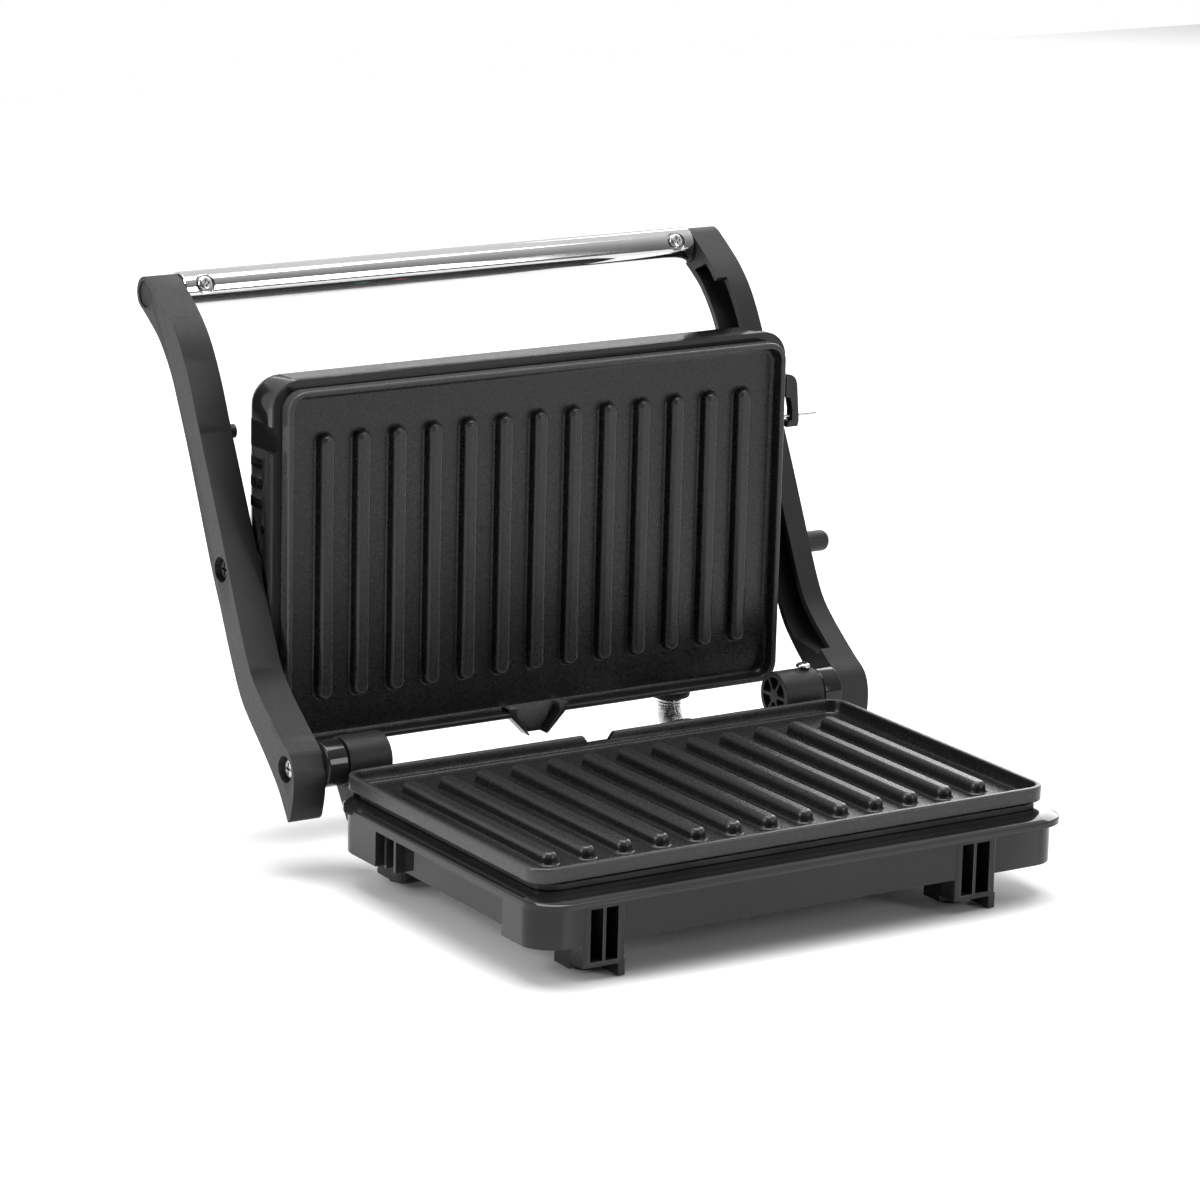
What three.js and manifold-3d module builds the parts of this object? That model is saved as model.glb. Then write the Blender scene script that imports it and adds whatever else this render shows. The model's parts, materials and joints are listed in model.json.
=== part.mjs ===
// A small panini press with ribbed plates, standing open with its lid upright.
// Millimetres, +Z up. X runs along the hinge, -Y is the front, where the handle comes down.
// Height 0 is the surface that the press stands on.
import * as THREE from 'three';
import { mergeVertices } from 'three/addons/utils/BufferGeometryUtils.js';
import Module from 'manifold-3d';

const wasm = await Module();
wasm.setup();

// ---------- driving dimensions ----------
const GAP = 0.3; // clearance kept between neighbouring solids

const PLATE = {
  width: 230, depth: 142.3, corner: 8, wall: 6, rim: 2.4, floorDrop: 5.5, under: 2,
  ribs: 13, ribPitch: 16.1, ribLength: 106, ribWidth: 7, crestDrop: 1,
};
const LOWER_PLATE_CENTRE = { y: -0.85, rimZ: 42.5 };
const LID_PLATE_CENTRE = { rimY: 113.4, z: 109.9 };

const BASE = {
  flangeX: 119.2, flangeFront: -82, flangeBack: 71, flangeLow: 29.5, flangeTop: 33.8,
  skirtX: 117.5, skirtFront: -78, skirtBack: 69, skirtLow: 13.6, wall: 2.5,
};
const LID = { flangeX: 118.8, sideX: 118, free: -74.5, hinge: 72.5, flangeFace: -6.6, flangeBack: -9.6,
  back: -32.6, round: 10, wall: 2.5 };

const HINGE = { y: 80.8, z: 43, barrelRadius: 9.9, collarRadius: 9.2, boltRadius: 2.5 };
const PIVOT = { y: 133.4, z: 109.5, pinRadius: 2.9 };
const HANDLE = { y: 197.3, z: 206.5, radius: 7.7, bore: 6, screwX: 110.5, screwTilt: 28 };
const ARM = { inner: 119.65, outer: 133.6, wall: 2.6 };
const SCREW_SEAT = 3.6; // depth of the seats in the arms' outer faces
const BARREL = { inner: 91.5, outer: 109.9 };
const COLLAR = { inner: 110.3, outer: 119.3 };

const CONDUIT = { radius: 5 };
const LATCH_PIN = { y: 121.5, z: 148 };
const LATCH_POCKET = [-56.9, -46.4];
const RELEASE = { y: 125, z: 92.5, stem: 2.2, knob: 4.4 };
const PEG = { y: 153.6, z: 158.8, radius: 2.8, tip: 117.3 };
const COVER_SCREWS = [[-80, -35], [80, -35], [-72, 26], [72, 26]];
const FRONT_FEET = [[-98.5, -80.5], [67, 86]];
const LENSES = [['red', -9], ['green', 9]];

const MIRROR_SIDES = [['left', -1], ['right', 1]];

// ---------- materials ----------
const gloss = () => new THREE.MeshStandardMaterial({ color: 0x0c0c0d, roughness: 0.14, metalness: 0 });
const matte = () => new THREE.MeshStandardMaterial({ color: 0x161617, roughness: 0.55, metalness: 0 });
const coating = () => new THREE.MeshStandardMaterial({ color: 0x141414, roughness: 0.5, metalness: 0.25 });
const chrome = () => new THREE.MeshStandardMaterial({ color: 0xd8d8da, roughness: 0.12, metalness: 1 });
const steel = () => new THREE.MeshStandardMaterial({ color: 0xb4b5b8, roughness: 0.32, metalness: 1 });
const sheet = () => new THREE.MeshStandardMaterial({ color: 0x2a2a2b, roughness: 0.45, metalness: 0.8 });
const rubber = () => new THREE.MeshStandardMaterial({ color: 0x1a1a1a, roughness: 0.85, metalness: 0 });
const redLens = () => new THREE.MeshStandardMaterial({ color: 0x8c1410, roughness: 0.15, metalness: 0 });
const greenLens = () => new THREE.MeshStandardMaterial({ color: 0x147036, roughness: 0.15, metalness: 0 });

// ---------- solids ----------
function toSolid(geometry) {
  geometry.deleteAttribute('normal');
  geometry.deleteAttribute('uv');
  const merged = mergeVertices(geometry, 1e-4);
  const solid = new wasm.Manifold(new wasm.Mesh({
    numProp: 3,
    vertProperties: new Float32Array(merged.attributes.position.array),
    triVerts: new Uint32Array(merged.index.array),
  }));
  return solid;
}

function toGeometry(solid) {
  const mesh = solid.getMesh();
  const geometry = new THREE.BufferGeometry();
  geometry.setAttribute('position', new THREE.BufferAttribute(mesh.vertProperties, 3));
  geometry.setIndex(new THREE.BufferAttribute(mesh.triVerts, 1));
  geometry.computeVertexNormals();
  return geometry;
}

const joined = (...solids) => solids.reduce((whole, piece) => whole.add(piece));
const cut = (solid, ...tools) => tools.reduce((left, tool) => left.subtract(tool), solid);

function box([x0, x1], [y0, y1], [z0, z1]) {
  const geometry = new THREE.BoxGeometry(x1 - x0, y1 - y0, z1 - z0);
  geometry.translate((x0 + x1) / 2, (y0 + y1) / 2, (z0 + z1) / 2);
  return toSolid(geometry);
}

function roundedRect([x0, x1], [y0, y1], radius) {
  const shape = new THREE.Shape();
  shape.absarc(x1 - radius, y0 + radius, radius, -Math.PI / 2, 0);
  shape.absarc(x1 - radius, y1 - radius, radius, 0, Math.PI / 2);
  shape.absarc(x0 + radius, y1 - radius, radius, Math.PI / 2, Math.PI);
  shape.absarc(x0 + radius, y0 + radius, radius, Math.PI, Math.PI * 1.5);
  shape.closePath();
  return shape;
}

/** Extrudes an outline drawn in XY from height z0 to z1. */
function slab(shape, [z0, z1], segments = 3) {
  const geometry = new THREE.ExtrudeGeometry(shape, {
    depth: z1 - z0, bevelEnabled: false, curveSegments: segments,
  });
  geometry.translate(0, 0, z0);
  return toSolid(geometry);
}

/** Extrudes an outline drawn in YZ from x0 to x1. */
function sidePlate(shape, [x0, x1], segments = 6) {
  const geometry = new THREE.ExtrudeGeometry(shape, {
    depth: x1 - x0, bevelEnabled: false, curveSegments: segments,
  });
  const turn = new THREE.Matrix4().makeBasis(
    new THREE.Vector3(0, 1, 0), new THREE.Vector3(0, 0, 1), new THREE.Vector3(1, 0, 0),
  );
  geometry.applyMatrix4(turn);
  geometry.translate(x0, 0, 0);
  return toSolid(geometry);
}

/** A round bar from start to end, both [x, y, z]. */
function bar(start, end, radius, sides = 16) {
  const from = new THREE.Vector3(...start);
  const to = new THREE.Vector3(...end);
  const along = to.clone().sub(from);
  const geometry = new THREE.CylinderGeometry(radius, radius, along.length(), sides);
  const turn = new THREE.Quaternion().setFromUnitVectors(new THREE.Vector3(0, 1, 0), along.clone().normalize());
  geometry.applyQuaternion(turn);
  const middle = from.add(to).multiplyScalar(0.5);
  geometry.translate(middle.x, middle.y, middle.z);
  return toSolid(geometry);
}

/** A bar along X between two distances from the middle, on the side given by sign. */
const sideBar = (sign, [near, far], y, z, radius, sides) => (
  bar([sign * near, y, z], [sign * far, y, z], radius, sides)
);

function tubeAlong(points, radius, steps, sides) {
  const section = new THREE.Shape();
  section.absarc(0, 0, radius, 0, Math.PI * 2);
  const path = new THREE.CatmullRomCurve3(points.map((point) => new THREE.Vector3(...point)));
  const geometry = new THREE.ExtrudeGeometry(section, {
    steps, curveSegments: sides / 2, bevelEnabled: false, extrudePath: path,
  });
  return toSolid(geometry);
}

/** A screw along +Z from its seat at 0: a domed head with a cross recess, and a shank below. */
function screw(headRadius, headHeight, shankRadius, shankLength) {
  const profile = [
    [0, 0], [headRadius, 0], [headRadius, headHeight * 0.45], [headRadius * 0.72, headHeight], [0, headHeight],
  ].map(([radius, height]) => new THREE.Vector2(radius, height));
  const lathe = new THREE.LatheGeometry(profile, 14);
  lathe.rotateX(Math.PI / 2);
  const slotHalf = headRadius * 0.16;
  const slotReach = headRadius * 0.55;
  const slotFloor = headHeight * 0.4;
  const bladeX = box([-slotReach, slotReach], [-slotHalf, slotHalf], [slotFloor, headHeight + 1]);
  const bladeY = box([-slotHalf, slotHalf], [-slotReach, slotReach], [slotFloor, headHeight + 1]);
  const head = cut(toSolid(lathe), bladeX, bladeY);
  return joined(head, bar([0, 0, -shankLength], [0, 0, 0.1], shankRadius, 8));
}

/** Turns a solid whose axis is +Z so that it points along direction, and moves it to place. */
function placed(solid, place, direction) {
  const turn = new THREE.Quaternion().setFromUnitVectors(
    new THREE.Vector3(0, 0, 1), new THREE.Vector3(...direction).normalize(),
  );
  const matrix = new THREE.Matrix4().compose(new THREE.Vector3(...place), turn, new THREE.Vector3(1, 1, 1));
  return solid.transform(matrix.elements);
}

// ---------- the shared half: plate, reflector and heater, with the rim's middle at the origin ----------
// In this frame the ribs face +Z and the hinge side is +Y.
function grillPlate() {
  const halfX = PLATE.width / 2;
  const halfY = PLATE.depth / 2;
  const body = slab(roundedRect([-halfX, halfX], [-halfY, halfY], PLATE.corner), [-PLATE.wall, 0]);
  const insideX = halfX - PLATE.rim;
  const insideY = halfY - PLATE.rim;
  const hollow = slab(
    roundedRect([-insideX, insideX], [-insideY, insideY], PLATE.corner - PLATE.rim), [-PLATE.floorDrop, 1],
  );
  const under = slab(
    roundedRect([-halfX + 12, halfX - 12], [-halfY + 12, halfY - 12], PLATE.corner),
    [-PLATE.wall - PLATE.under, -PLATE.wall + 0.2], 3,
  );
  const ribs = [];
  for (let index = 0; index < PLATE.ribs; index += 1) {
    ribs.push(rib((index - (PLATE.ribs - 1) / 2) * PLATE.ribPitch));
  }
  return joined(cut(body, hollow), under, ...ribs);
}

function rib(x) {
  const bevel = 1.6;
  const half = PLATE.ribWidth / 2;
  const reach = PLATE.ribLength / 2 - half;
  const outline = new THREE.Shape();
  outline.absarc(x, reach, half, 0, Math.PI);
  outline.absarc(x, -reach, half, Math.PI, Math.PI * 2);
  outline.closePath();
  const height = PLATE.floorDrop - PLATE.crestDrop;
  const geometry = new THREE.ExtrudeGeometry(outline, {
    depth: height, bevelThickness: bevel, bevelSize: bevel, bevelOffset: -bevel, bevelSegments: 2, curveSegments: 2,
  });
  // The lower bevel is sunk into the plate floor, so only the rounded crest shows.
  geometry.translate(0, 0, -PLATE.crestDrop - bevel - height);
  const belowFloor = -PLATE.floorDrop - 0.3;
  const trim = box([x - half - 1, x + half + 1], [-PLATE.depth, PLATE.depth], [belowFloor - 10, belowFloor]);
  return cut(toSolid(geometry), trim);
}

/** A shallow steel pan behind the plate, which throws the heater's heat forward. */
function reflectorPan() {
  const pan = slab(roundedRect([-106.5, 106.5], [-64, 62.5], 8), [-18, -7], 3);
  const hollow = slab(roundedRect([-105.5, 105.5], [-63, 61.5], 7), [-17.2, 0], 3);
  return cut(pan, hollow);
}

/** The tubular heater that lies in a U under the plate. */
function heater() {
  const height = -12;
  const corners = [
    [-28, 50], [-82, 46], [-92, 8], [-84, -42], [0, -52], [84, -42], [92, 8], [82, 46], [28, 50],
  ];
  return tubeAlong(corners.map(([x, y]) => [x, y, height]), 3, 26, 6);
}

const thermostatBlock = () => joined(
  box([-13, 13], [4, 20], [-14.5, -8 - GAP]),
  bar([0, 12, -16.5], [0, 12, -14], 6, 16),
);

const fuseTube = () => bar([-52, 10, -11], [-34, 10, -11], 2.2, 12);

// ---------- base ----------
const base = new THREE.Group();

function lowerHousing() {
  const { wall } = BASE;
  const flange = slab(
    roundedRect([-BASE.flangeX, BASE.flangeX], [BASE.flangeFront, BASE.flangeBack], 13),
    [BASE.flangeLow, BASE.flangeTop],
  );
  const skirt = slab(
    roundedRect([-BASE.skirtX, BASE.skirtX], [BASE.skirtFront, BASE.skirtBack], 12),
    [BASE.skirtLow, BASE.flangeLow + 0.1],
  );
  const deckUnderside = BASE.flangeTop - wall;
  const hollowX = BASE.skirtX - wall;
  const hollow = slab(
    roundedRect([-hollowX, hollowX], [BASE.skirtFront + wall, BASE.skirtBack - wall], 9.5),
    [BASE.skirtLow - 1, deckUnderside],
  );
  const mouth = slab(roundedRect([-108, 108], [-66.5, 64], 9), [deckUnderside - 1, BASE.flangeTop + 1], 3);
  // Each side has a set-in panel between the corner columns.
  const recess = { depth: 6.5, y: [-53, 39], top: 27.5 };
  const recessFace = BASE.skirtX - recess.depth;
  const panels = MIRROR_SIDES.map(([, sign]) => box(
    sortedPair(sign * recessFace, sign * (BASE.skirtX + 1)), recess.y, [BASE.skirtLow - 1, recess.top],
  ));
  const backing = MIRROR_SIDES.map(([, sign]) => box(
    sortedPair(sign * (recessFace - wall), sign * (BASE.skirtX + 1)),
    [recess.y[0] - wall, recess.y[1] + wall], [BASE.skirtLow - 2, deckUnderside + 1],
  ));
  const shell = cut(joined(flange, skirt), ...panels, cut(hollow, ...backing), mouth);
  const panelRibs = MIRROR_SIDES.flatMap(([, sign]) => [28, 35].map((y) => box(
    sortedPair(sign * (recessFace - 0.1), sign * (recessFace + 4)), [y, y + 1.6], [BASE.skirtLow, recess.top + 0.1],
  )));
  const standPosts = MIRROR_SIDES.map(([, sign]) => slab(
    roundedRect(sortedPair(sign * 96, sign * 108), [BASE.skirtBack - wall, 76.3], 1.5), [9, 20], 2,
  ));
  const cordHole = bar([-60, 60, 21.5], [-60, 75, 21.5], 5.6, 20);
  const conduitHole = bar([50, 60, 21.5], [50, 75, 21.5], 6.4, 20);
  const housing = cut(joined(shell, ...panelRibs, ...standPosts), cordHole, conduitHole);
  return FRONT_FEET.reduce(withFrontFoot, housing);
}

/** A front foot is a column with a slot split by a thin rib, and its right wall reaches the table. */
function withFrontFoot(housing, [left, right]) {
  const face = BASE.skirtFront - 0.5;
  const column = joined(
    slab(roundedRect([left, right], [face, -65.3], 1.2), [2.5, BASE.flangeLow + 0.1], 2),
    slab(roundedRect([left, right], [face, -58], 1.2), [2.5, 24], 2),
  );
  const longWall = box([right - 2.8, right], [face, -66], [0.2, 6]);
  const slot = [left + 3, right - 3.3];
  const slotCut = box(slot, [face - 1, -67], [7, 27]);
  const toe = box([left - 1, right - 2.8], [face - 1, -69], [-1, 5]);
  const middle = left + 8.2;
  const divider = box([middle, middle + 1.4], [face, -66.5], [5, 27.1]);
  return joined(cut(joined(housing, column), slotCut, toe), longWall, divider);
}

function bottomCover() {
  const plate = slab(roundedRect([-110.7 + 2.5, 110.7 - 2.5], [-75, 66], 8), [BASE.skirtLow, 15.6], 3);
  const footRooms = FRONT_FEET.map(([left, right]) => box([left - GAP, right + GAP], [-80, -58 + GAP], [0, 20]));
  const rearFeet = MIRROR_SIDES.map(([, sign]) => slab(
    roundedRect(sortedPair(sign * 88, sign * 103), [45, 65.5], 4), [2.5, BASE.skirtLow + 0.5], 2,
  ));
  const vents = [-2, -1, 0, 1, 2].map((step) => box([-30, 30], [step * 9 - 1.5, step * 9 + 1.5], [10, 20]));
  const screwHoles = COVER_SCREWS.map(([x, y]) => bar([x, y, 10], [x, y, 20], 1.9, 8));
  return cut(joined(plate, ...rearFeet), ...footRooms, ...vents, ...screwHoles);
}


function sortedPair(a, b) {
  return a < b ? [a, b] : [b, a];
}

function hingeBarrel(sign) {
  const { inner, outer } = BARREL;
  const drum = sideBar(sign, [inner, outer], HINGE.y, HINGE.z, HINGE.barrelRadius, 28);
  const saddle = new THREE.Shape();
  saddle.moveTo(71.3, 20.4);
  saddle.lineTo(76, 20.4);
  saddle.lineTo(88.5, 38);
  saddle.lineTo(80, 43);
  saddle.lineTo(71.3, 40);
  saddle.closePath();
  const bracket = sidePlate(saddle, sortedPair(sign * (inner + 2), sign * (outer - 1)));
  // The inner end is open, with spokes around a hub.
  const pocket = sideBar(sign, [inner - 1, inner + 3], HINGE.y, HINGE.z, 7.6, 24);
  const hub = sideBar(sign, [inner - 2, inner + 4], HINGE.y, HINGE.z, 2.8, 12);
  const spokes = [0, 60, 120].map((angle) => {
    const spoke = box([-10, 10], [-8, 8], [-0.6, 0.6]);
    return spoke.rotate([angle, 0, 0]).translate([sign * inner, HINGE.y, HINGE.z]);
  });
  const boltHole = sideBar(sign, [inner + 5, outer + 1], HINGE.y, HINGE.z, HINGE.boltRadius + GAP, 16);
  const cells = cut(pocket, hub, ...spokes);
  return cut(joined(drum, bracket), cells, boltHole);
}

const conduitRoute = [
  [50, 69.6, 21.5], [50.8, 76, 24.5], [53.5, 84, 31.5], [58.5, 94, 29.5], [64.5, 108, 24.5],
  [69, 120, 23.8], [71.2, 126.2, 28], [71.5, 127, 36.3],
];

function ringAlong(start, end, outerRadius, innerRadius, sides = 18) {
  return cut(bar(start, end, outerRadius, sides), boreThrough(start, end, innerRadius, sides));
}

function boreThrough(start, end, radius, sides) {
  const from = new THREE.Vector3(...start);
  const to = new THREE.Vector3(...end);
  const extra = to.clone().sub(from).normalize();
  return bar(from.sub(extra).toArray(), to.add(extra).toArray(), radius, sides);
}

// ---------- arms and handle ----------
const frontEdge = new THREE.SplineCurve([
  [76.4, 24.2], [74.2, 33], [74, 42], [77, 49.1], [84.7, 54.4], [93, 60.4], [101, 66.5], [109, 74.6], [117.3, 89.8],
  [134, 125.3], [150.8, 159.4], [159.2, 177.2], [167.6, 191], [176, 200], [184.5, 206.4], [193.4, 212.2],
].map(([y, z]) => new THREE.Vector2(y, z)));
const backEdge = new THREE.SplineCurve([
  [201.6, 201.3], [193, 196.2], [184.5, 190], [176, 180], [170, 169.5], [159, 147.8], [142.1, 110.8], [133.7, 94.5],
  [125.3, 77.6], [117, 63.2], [109, 55], [100.6, 47.9], [92.5, 40.6], [86, 34], [81.5, 27.8], [78, 22.6],
].map(([y, z]) => new THREE.Vector2(y, z)));

/** Points on an edge from t0 to t1, moved sideways into the arm by inset. */
function edgePoints(edge, t0, t1, count, inset) {
  const points = [];
  for (let index = 0; index <= count; index += 1) {
    const t = t0 + ((t1 - t0) * index) / count;
    const tangent = edge.getTangent(t);
    const inward = new THREE.Vector2(tangent.y, -tangent.x);
    points.push(edge.getPoint(t).addScaledVector(inward, inset));
  }
  return points;
}

function armOutline() {
  const outline = new THREE.Shape();
  outline.setFromPoints([
    ...edgePoints(frontEdge, 0, 1, 20, 0),
    ...arcPoints(HANDLE.y, HANDLE.z, 6.9, 100, -35, 6),
    ...edgePoints(backEdge, 0, 1, 20, 0),
  ]);
  return outline;
}

function arcPoints(y, z, radius, fromDegrees, toDegrees, count) {
  const points = [];
  for (let index = 0; index <= count; index += 1) {
    const angle = THREE.MathUtils.degToRad(fromDegrees + ((toDegrees - fromDegrees) * index) / count);
    points.push(new THREE.Vector2(y + radius * Math.cos(angle), z + radius * Math.sin(angle)));
  }
  return points;
}

function arm(sign) {
  const { inner, outer, wall } = ARM;
  const body = sidePlate(armOutline(), sortedPair(sign * inner, sign * outer));
  const channelShape = new THREE.Shape();
  channelShape.setFromPoints([
    ...edgePoints(frontEdge, 0.36, 0.9, 13, wall),
    ...edgePoints(backEdge, 0.08, 0.6, 13, wall),
  ]);
  const channel = sidePlate(channelShape, sortedPair(sign * (inner - 1), sign * (outer - wall)));
  const pivotBlock = sideBar(sign, [inner, outer - 1], PIVOT.y, PIVOT.z, 6, 20);
  const spigot = sideBar(sign, [105, inner + 1], HANDLE.y, HANDLE.z, HANDLE.bore - GAP, 20);
  const pivotBore = sideBar(sign, [inner - 1, outer + 1], PIVOT.y, PIVOT.z, PIVOT.pinRadius + GAP, 16);
  const pivotSeat = sideBar(sign, [outer - SCREW_SEAT, outer + 1], PIVOT.y, PIVOT.z, 5, 20);
  const hingeBore = sideBar(sign, [inner - 1, outer + 1], HINGE.y, HINGE.z, HINGE.boltRadius + GAP, 16);
  const hingeSeat = sideBar(sign, [outer - SCREW_SEAT, outer + 1], HINGE.y, HINGE.z, 5.2, 20);
  const dish = sideBar(sign, [outer - 0.8, outer + 1], HANDLE.y, HANDLE.z, 5.4, 20);
  const handleScrewHole = handleScrewPath(sign, 2, 0, 12);
  const tools = [pivotBore, pivotSeat, hingeBore, hingeSeat, dish, handleScrewHole];
  if (sign > 0) {
    tools.push(frontLipCut(), sideBar(1, [outer - wall - 1, outer + 1], RELEASE.y, RELEASE.z, RELEASE.stem + GAP, 16));
  }
  const shell = joined(cut(body, channel), pivotBlock, spigot);
  // The left arm has a stop peg, which drops into the lid's side pocket as the press closes.
  const pegged = sign < 0 ? joined(shell, sideBar(sign, [PEG.tip, outer - 1], PEG.y, PEG.z, PEG.radius, 14)) : shell;
  return cut(pegged, ...tools);
}

/** On the right arm the front wall is narrower than the back wall, below a step near the handle. */
function frontLipCut() {
  const strip = new THREE.Shape();
  strip.setFromPoints([
    ...edgePoints(frontEdge, 0.42, 0.84, 9, -1),
    ...edgePoints(frontEdge, 0.42, 0.84, 9, 3.4).reverse(),
  ]);
  return sidePlate(strip, [ARM.inner - 1, ARM.inner + 4.6]);
}

/** A bar on the line of a handle screw, between two distances from the handle's axis. */
function handleScrewPath(sign, radius, near, far) {
  const [y, z] = handleScrewDirection;
  const x = sign * HANDLE.screwX;
  return bar(
    [x, HANDLE.y + y * near, HANDLE.z + z * near], [x, HANDLE.y + y * far, HANDLE.z + z * far], radius, 20,
  );
}

const screwAngle = THREE.MathUtils.degToRad(HANDLE.screwTilt);
const handleScrewDirection = [-Math.cos(screwAngle), Math.sin(screwAngle)];
const handleScrewSeat = HANDLE.radius - 1.1;

function handleTube() {
  const half = COLLAR.outer;
  const tube = cut(
    bar([-half, HANDLE.y, HANDLE.z], [half, HANDLE.y, HANDLE.z], HANDLE.radius, 30),
    bar([-half - 1, HANDLE.y, HANDLE.z], [half + 1, HANDLE.y, HANDLE.z], HANDLE.bore, 20),
  );
  const dimples = MIRROR_SIDES.map(([, sign]) => handleScrewPath(sign, 4.2, handleScrewSeat, 12));
  const holes = MIRROR_SIDES.map(([, sign]) => handleScrewPath(sign, 2, 0, 12));
  return cut(tube, ...dimples, ...holes);
}

// ---------- lid, in the shared half's frame ----------

function upperHousing() {
  const { sideX, free, hinge, round, wall, back } = LID;
  const flange = slab(
    roundedRect([-LID.flangeX, LID.flangeX], [free, hinge], 11), [LID.flangeBack, LID.flangeFace],
  );
  const dome = domeSolid(sideX, [free + 0.8, hinge - 0.5], back, round, 12);
  const hollow = domeSolid(
    sideX - wall, [free + 0.8 + wall, hinge - 0.5 - wall], back + wall, round - wall, 12 - wall,
  );
  const mouth = slab(roundedRect([-108.5, 108.5], [-66.5, 65], 9), [LID.flangeBack - 1, 0], 3);
  const pivotY = LID_PLATE_CENTRE.z - PIVOT.z;
  const pivotZ = LID_PLATE_CENTRE.rimY - PIVOT.y;
  const bosses = MIRROR_SIDES.map(([, sign]) => sideBar(sign, [108, sideX], pivotY, pivotZ, 6.2, 20));
  const bores = MIRROR_SIDES.map(([, sign]) => (
    sideBar(sign, [110, sideX + 1], pivotY, pivotZ, PIVOT.pinRadius + GAP, 16)
  ));
  const pockets = MIRROR_SIDES.map(([, sign]) => (
    box(sortedPair(sign * (sideX - 1.7), sign * (sideX + 2)), LATCH_POCKET, [-28, 0])
  ));
  // Vent slots wrap the rounded edge on the left, which is the +X side of this frame.
  const vents = [-40.5, -32.5, -24.5].map((y) => box([sideX - 2, sideX + 2], [y - 2, y + 2], [-28, -15.5]));
  const sideHole = bar([sideX - 2, -14.6, -15.5], [sideX + 1, -14.6, -15.5], 2, 12);
  const pinHole = sideBar(-1, [sideX - 5, sideX + 1], LID_PLATE_CENTRE.z - LATCH_PIN.z,
    LID_PLATE_CENTRE.rimY - LATCH_PIN.y, 0.9, 10);
  const pinBlock = box([-sideX + 0.5, -sideX + 8], [LATCH_POCKET[0] + 13, LATCH_POCKET[0] + 22], [-14, -6.7]);
  const lensSeats = LENSES.map(([, x]) => bar([x, -60, back - 1], [x, -60, back + 1.2], 3.8, 16));
  const conduitHole = bar([-71.5, 60, -13.6], [-71.5, 80, -13.6], 6.4, 20);
  const shell = cut(joined(flange, dome), hollow, mouth);
  return cut(joined(shell, ...bosses, pinBlock), ...bores, ...pockets, ...vents, sideHole, pinHole,
    ...lensSeats, conduitHole);
}

/** A shallow tub whose closed side, at height back, has rounded edges. */
function domeSolid(halfX, [y0, y1], back, round, corner) {
  const depth = LID.flangeBack - back - round + 0.2;
  const geometry = new THREE.ExtrudeGeometry(roundedRect([-halfX, halfX], [y0, y1], corner), {
    depth, bevelThickness: round, bevelSize: round, bevelOffset: -round, bevelSegments: 3, curveSegments: 3,
  });
  geometry.translate(0, 0, back + round);
  const above = box([-200, 200], [-200, 200], [LID.flangeBack + 0.2, 60]);
  return cut(toSolid(geometry), above);
}

/** Turns the shared half's frame into the open lid's place, with the ribs facing the front. */
const lidMatrix = new THREE.Matrix4().makeBasis(
  new THREE.Vector3(-1, 0, 0), new THREE.Vector3(0, 0, -1), new THREE.Vector3(0, -1, 0),
).setPosition(0, LID_PLATE_CENTRE.rimY, LID_PLATE_CENTRE.z);

/** A pouring lip at the lid plate's hinge edge, open towards the front. */
function drainSpout() {
  const edge = PLATE.depth / 2;
  const outline = new THREE.Shape();
  outline.moveTo(-14, edge - 4);
  outline.lineTo(14, edge - 4);
  outline.lineTo(12.5, edge);
  outline.lineTo(4.6, edge + 8);
  outline.lineTo(-4.6, edge + 8);
  outline.lineTo(-12.5, edge);
  outline.closePath();
  return slab(outline, [-PLATE.wall, 0]);
}

function drainChannel() {
  const edge = PLATE.depth / 2;
  const outline = new THREE.Shape();
  outline.moveTo(-10, edge - 6);
  outline.lineTo(10, edge - 6);
  outline.lineTo(10, edge - 0.5);
  outline.lineTo(3, edge + 9);
  outline.lineTo(-3, edge + 9);
  outline.lineTo(-10, edge - 0.5);
  outline.closePath();
  return slab(outline, [-PLATE.floorDrop + 0.6, 1]);
}

function drainNotch() {
  const edge = PLATE.depth / 2;
  const outline = new THREE.Shape();
  outline.moveTo(-8, 1);
  outline.lineTo(-5, -3.2);
  outline.lineTo(5, -3.2);
  outline.lineTo(8, 1);
  outline.closePath();
  const geometry = new THREE.ExtrudeGeometry(outline, { depth: 10, bevelEnabled: false });
  geometry.rotateX(Math.PI / 2);
  geometry.translate(0, edge + 3, 0);
  return toSolid(geometry);
}

// ---------- latch ----------
/** A J-shaped hook beside the lid: a flat bar with its two ends turned in. */
function latchHook() {
  const outline = new THREE.Shape();
  outline.moveTo(120.2, 143.8);
  outline.lineTo(125.6, 143.8);
  outline.lineTo(126.2, 146);
  outline.lineTo(125, 160);
  outline.quadraticCurveTo(124.6, 165.6, 120.2, 165.8);
  outline.lineTo(119.4, 165.8);
  outline.lineTo(119.4, 156.4);
  outline.lineTo(121.6, 156);
  outline.lineTo(122.8, 151);
  outline.lineTo(122.8, 146.6);
  outline.lineTo(121.2, 146.2);
  outline.closePath();
  const geometry = new THREE.ExtrudeGeometry(outline, { depth: 7, bevelEnabled: false, curveSegments: 5 });
  geometry.rotateX(Math.PI / 2);
  geometry.translate(0, 125, 0);
  const hook = toSolid(geometry);
  const eye = bar([118, LATCH_PIN.y, LATCH_PIN.z], [130, LATCH_PIN.y, LATCH_PIN.z], 0.9, 10);
  return cut(hook, eye);
}

// ---------- assembly ----------
const press = new THREE.Group();

function addPart(parent, name, solid, material) {
  const mesh = new THREE.Mesh(toGeometry(solid), material);
  mesh.name = name;
  parent.add(mesh);
}

press.add(base);
addPart(base, 'lower_housing', lowerHousing(), gloss());
addPart(base, 'base_bottom_cover', bottomCover(), matte());

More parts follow.
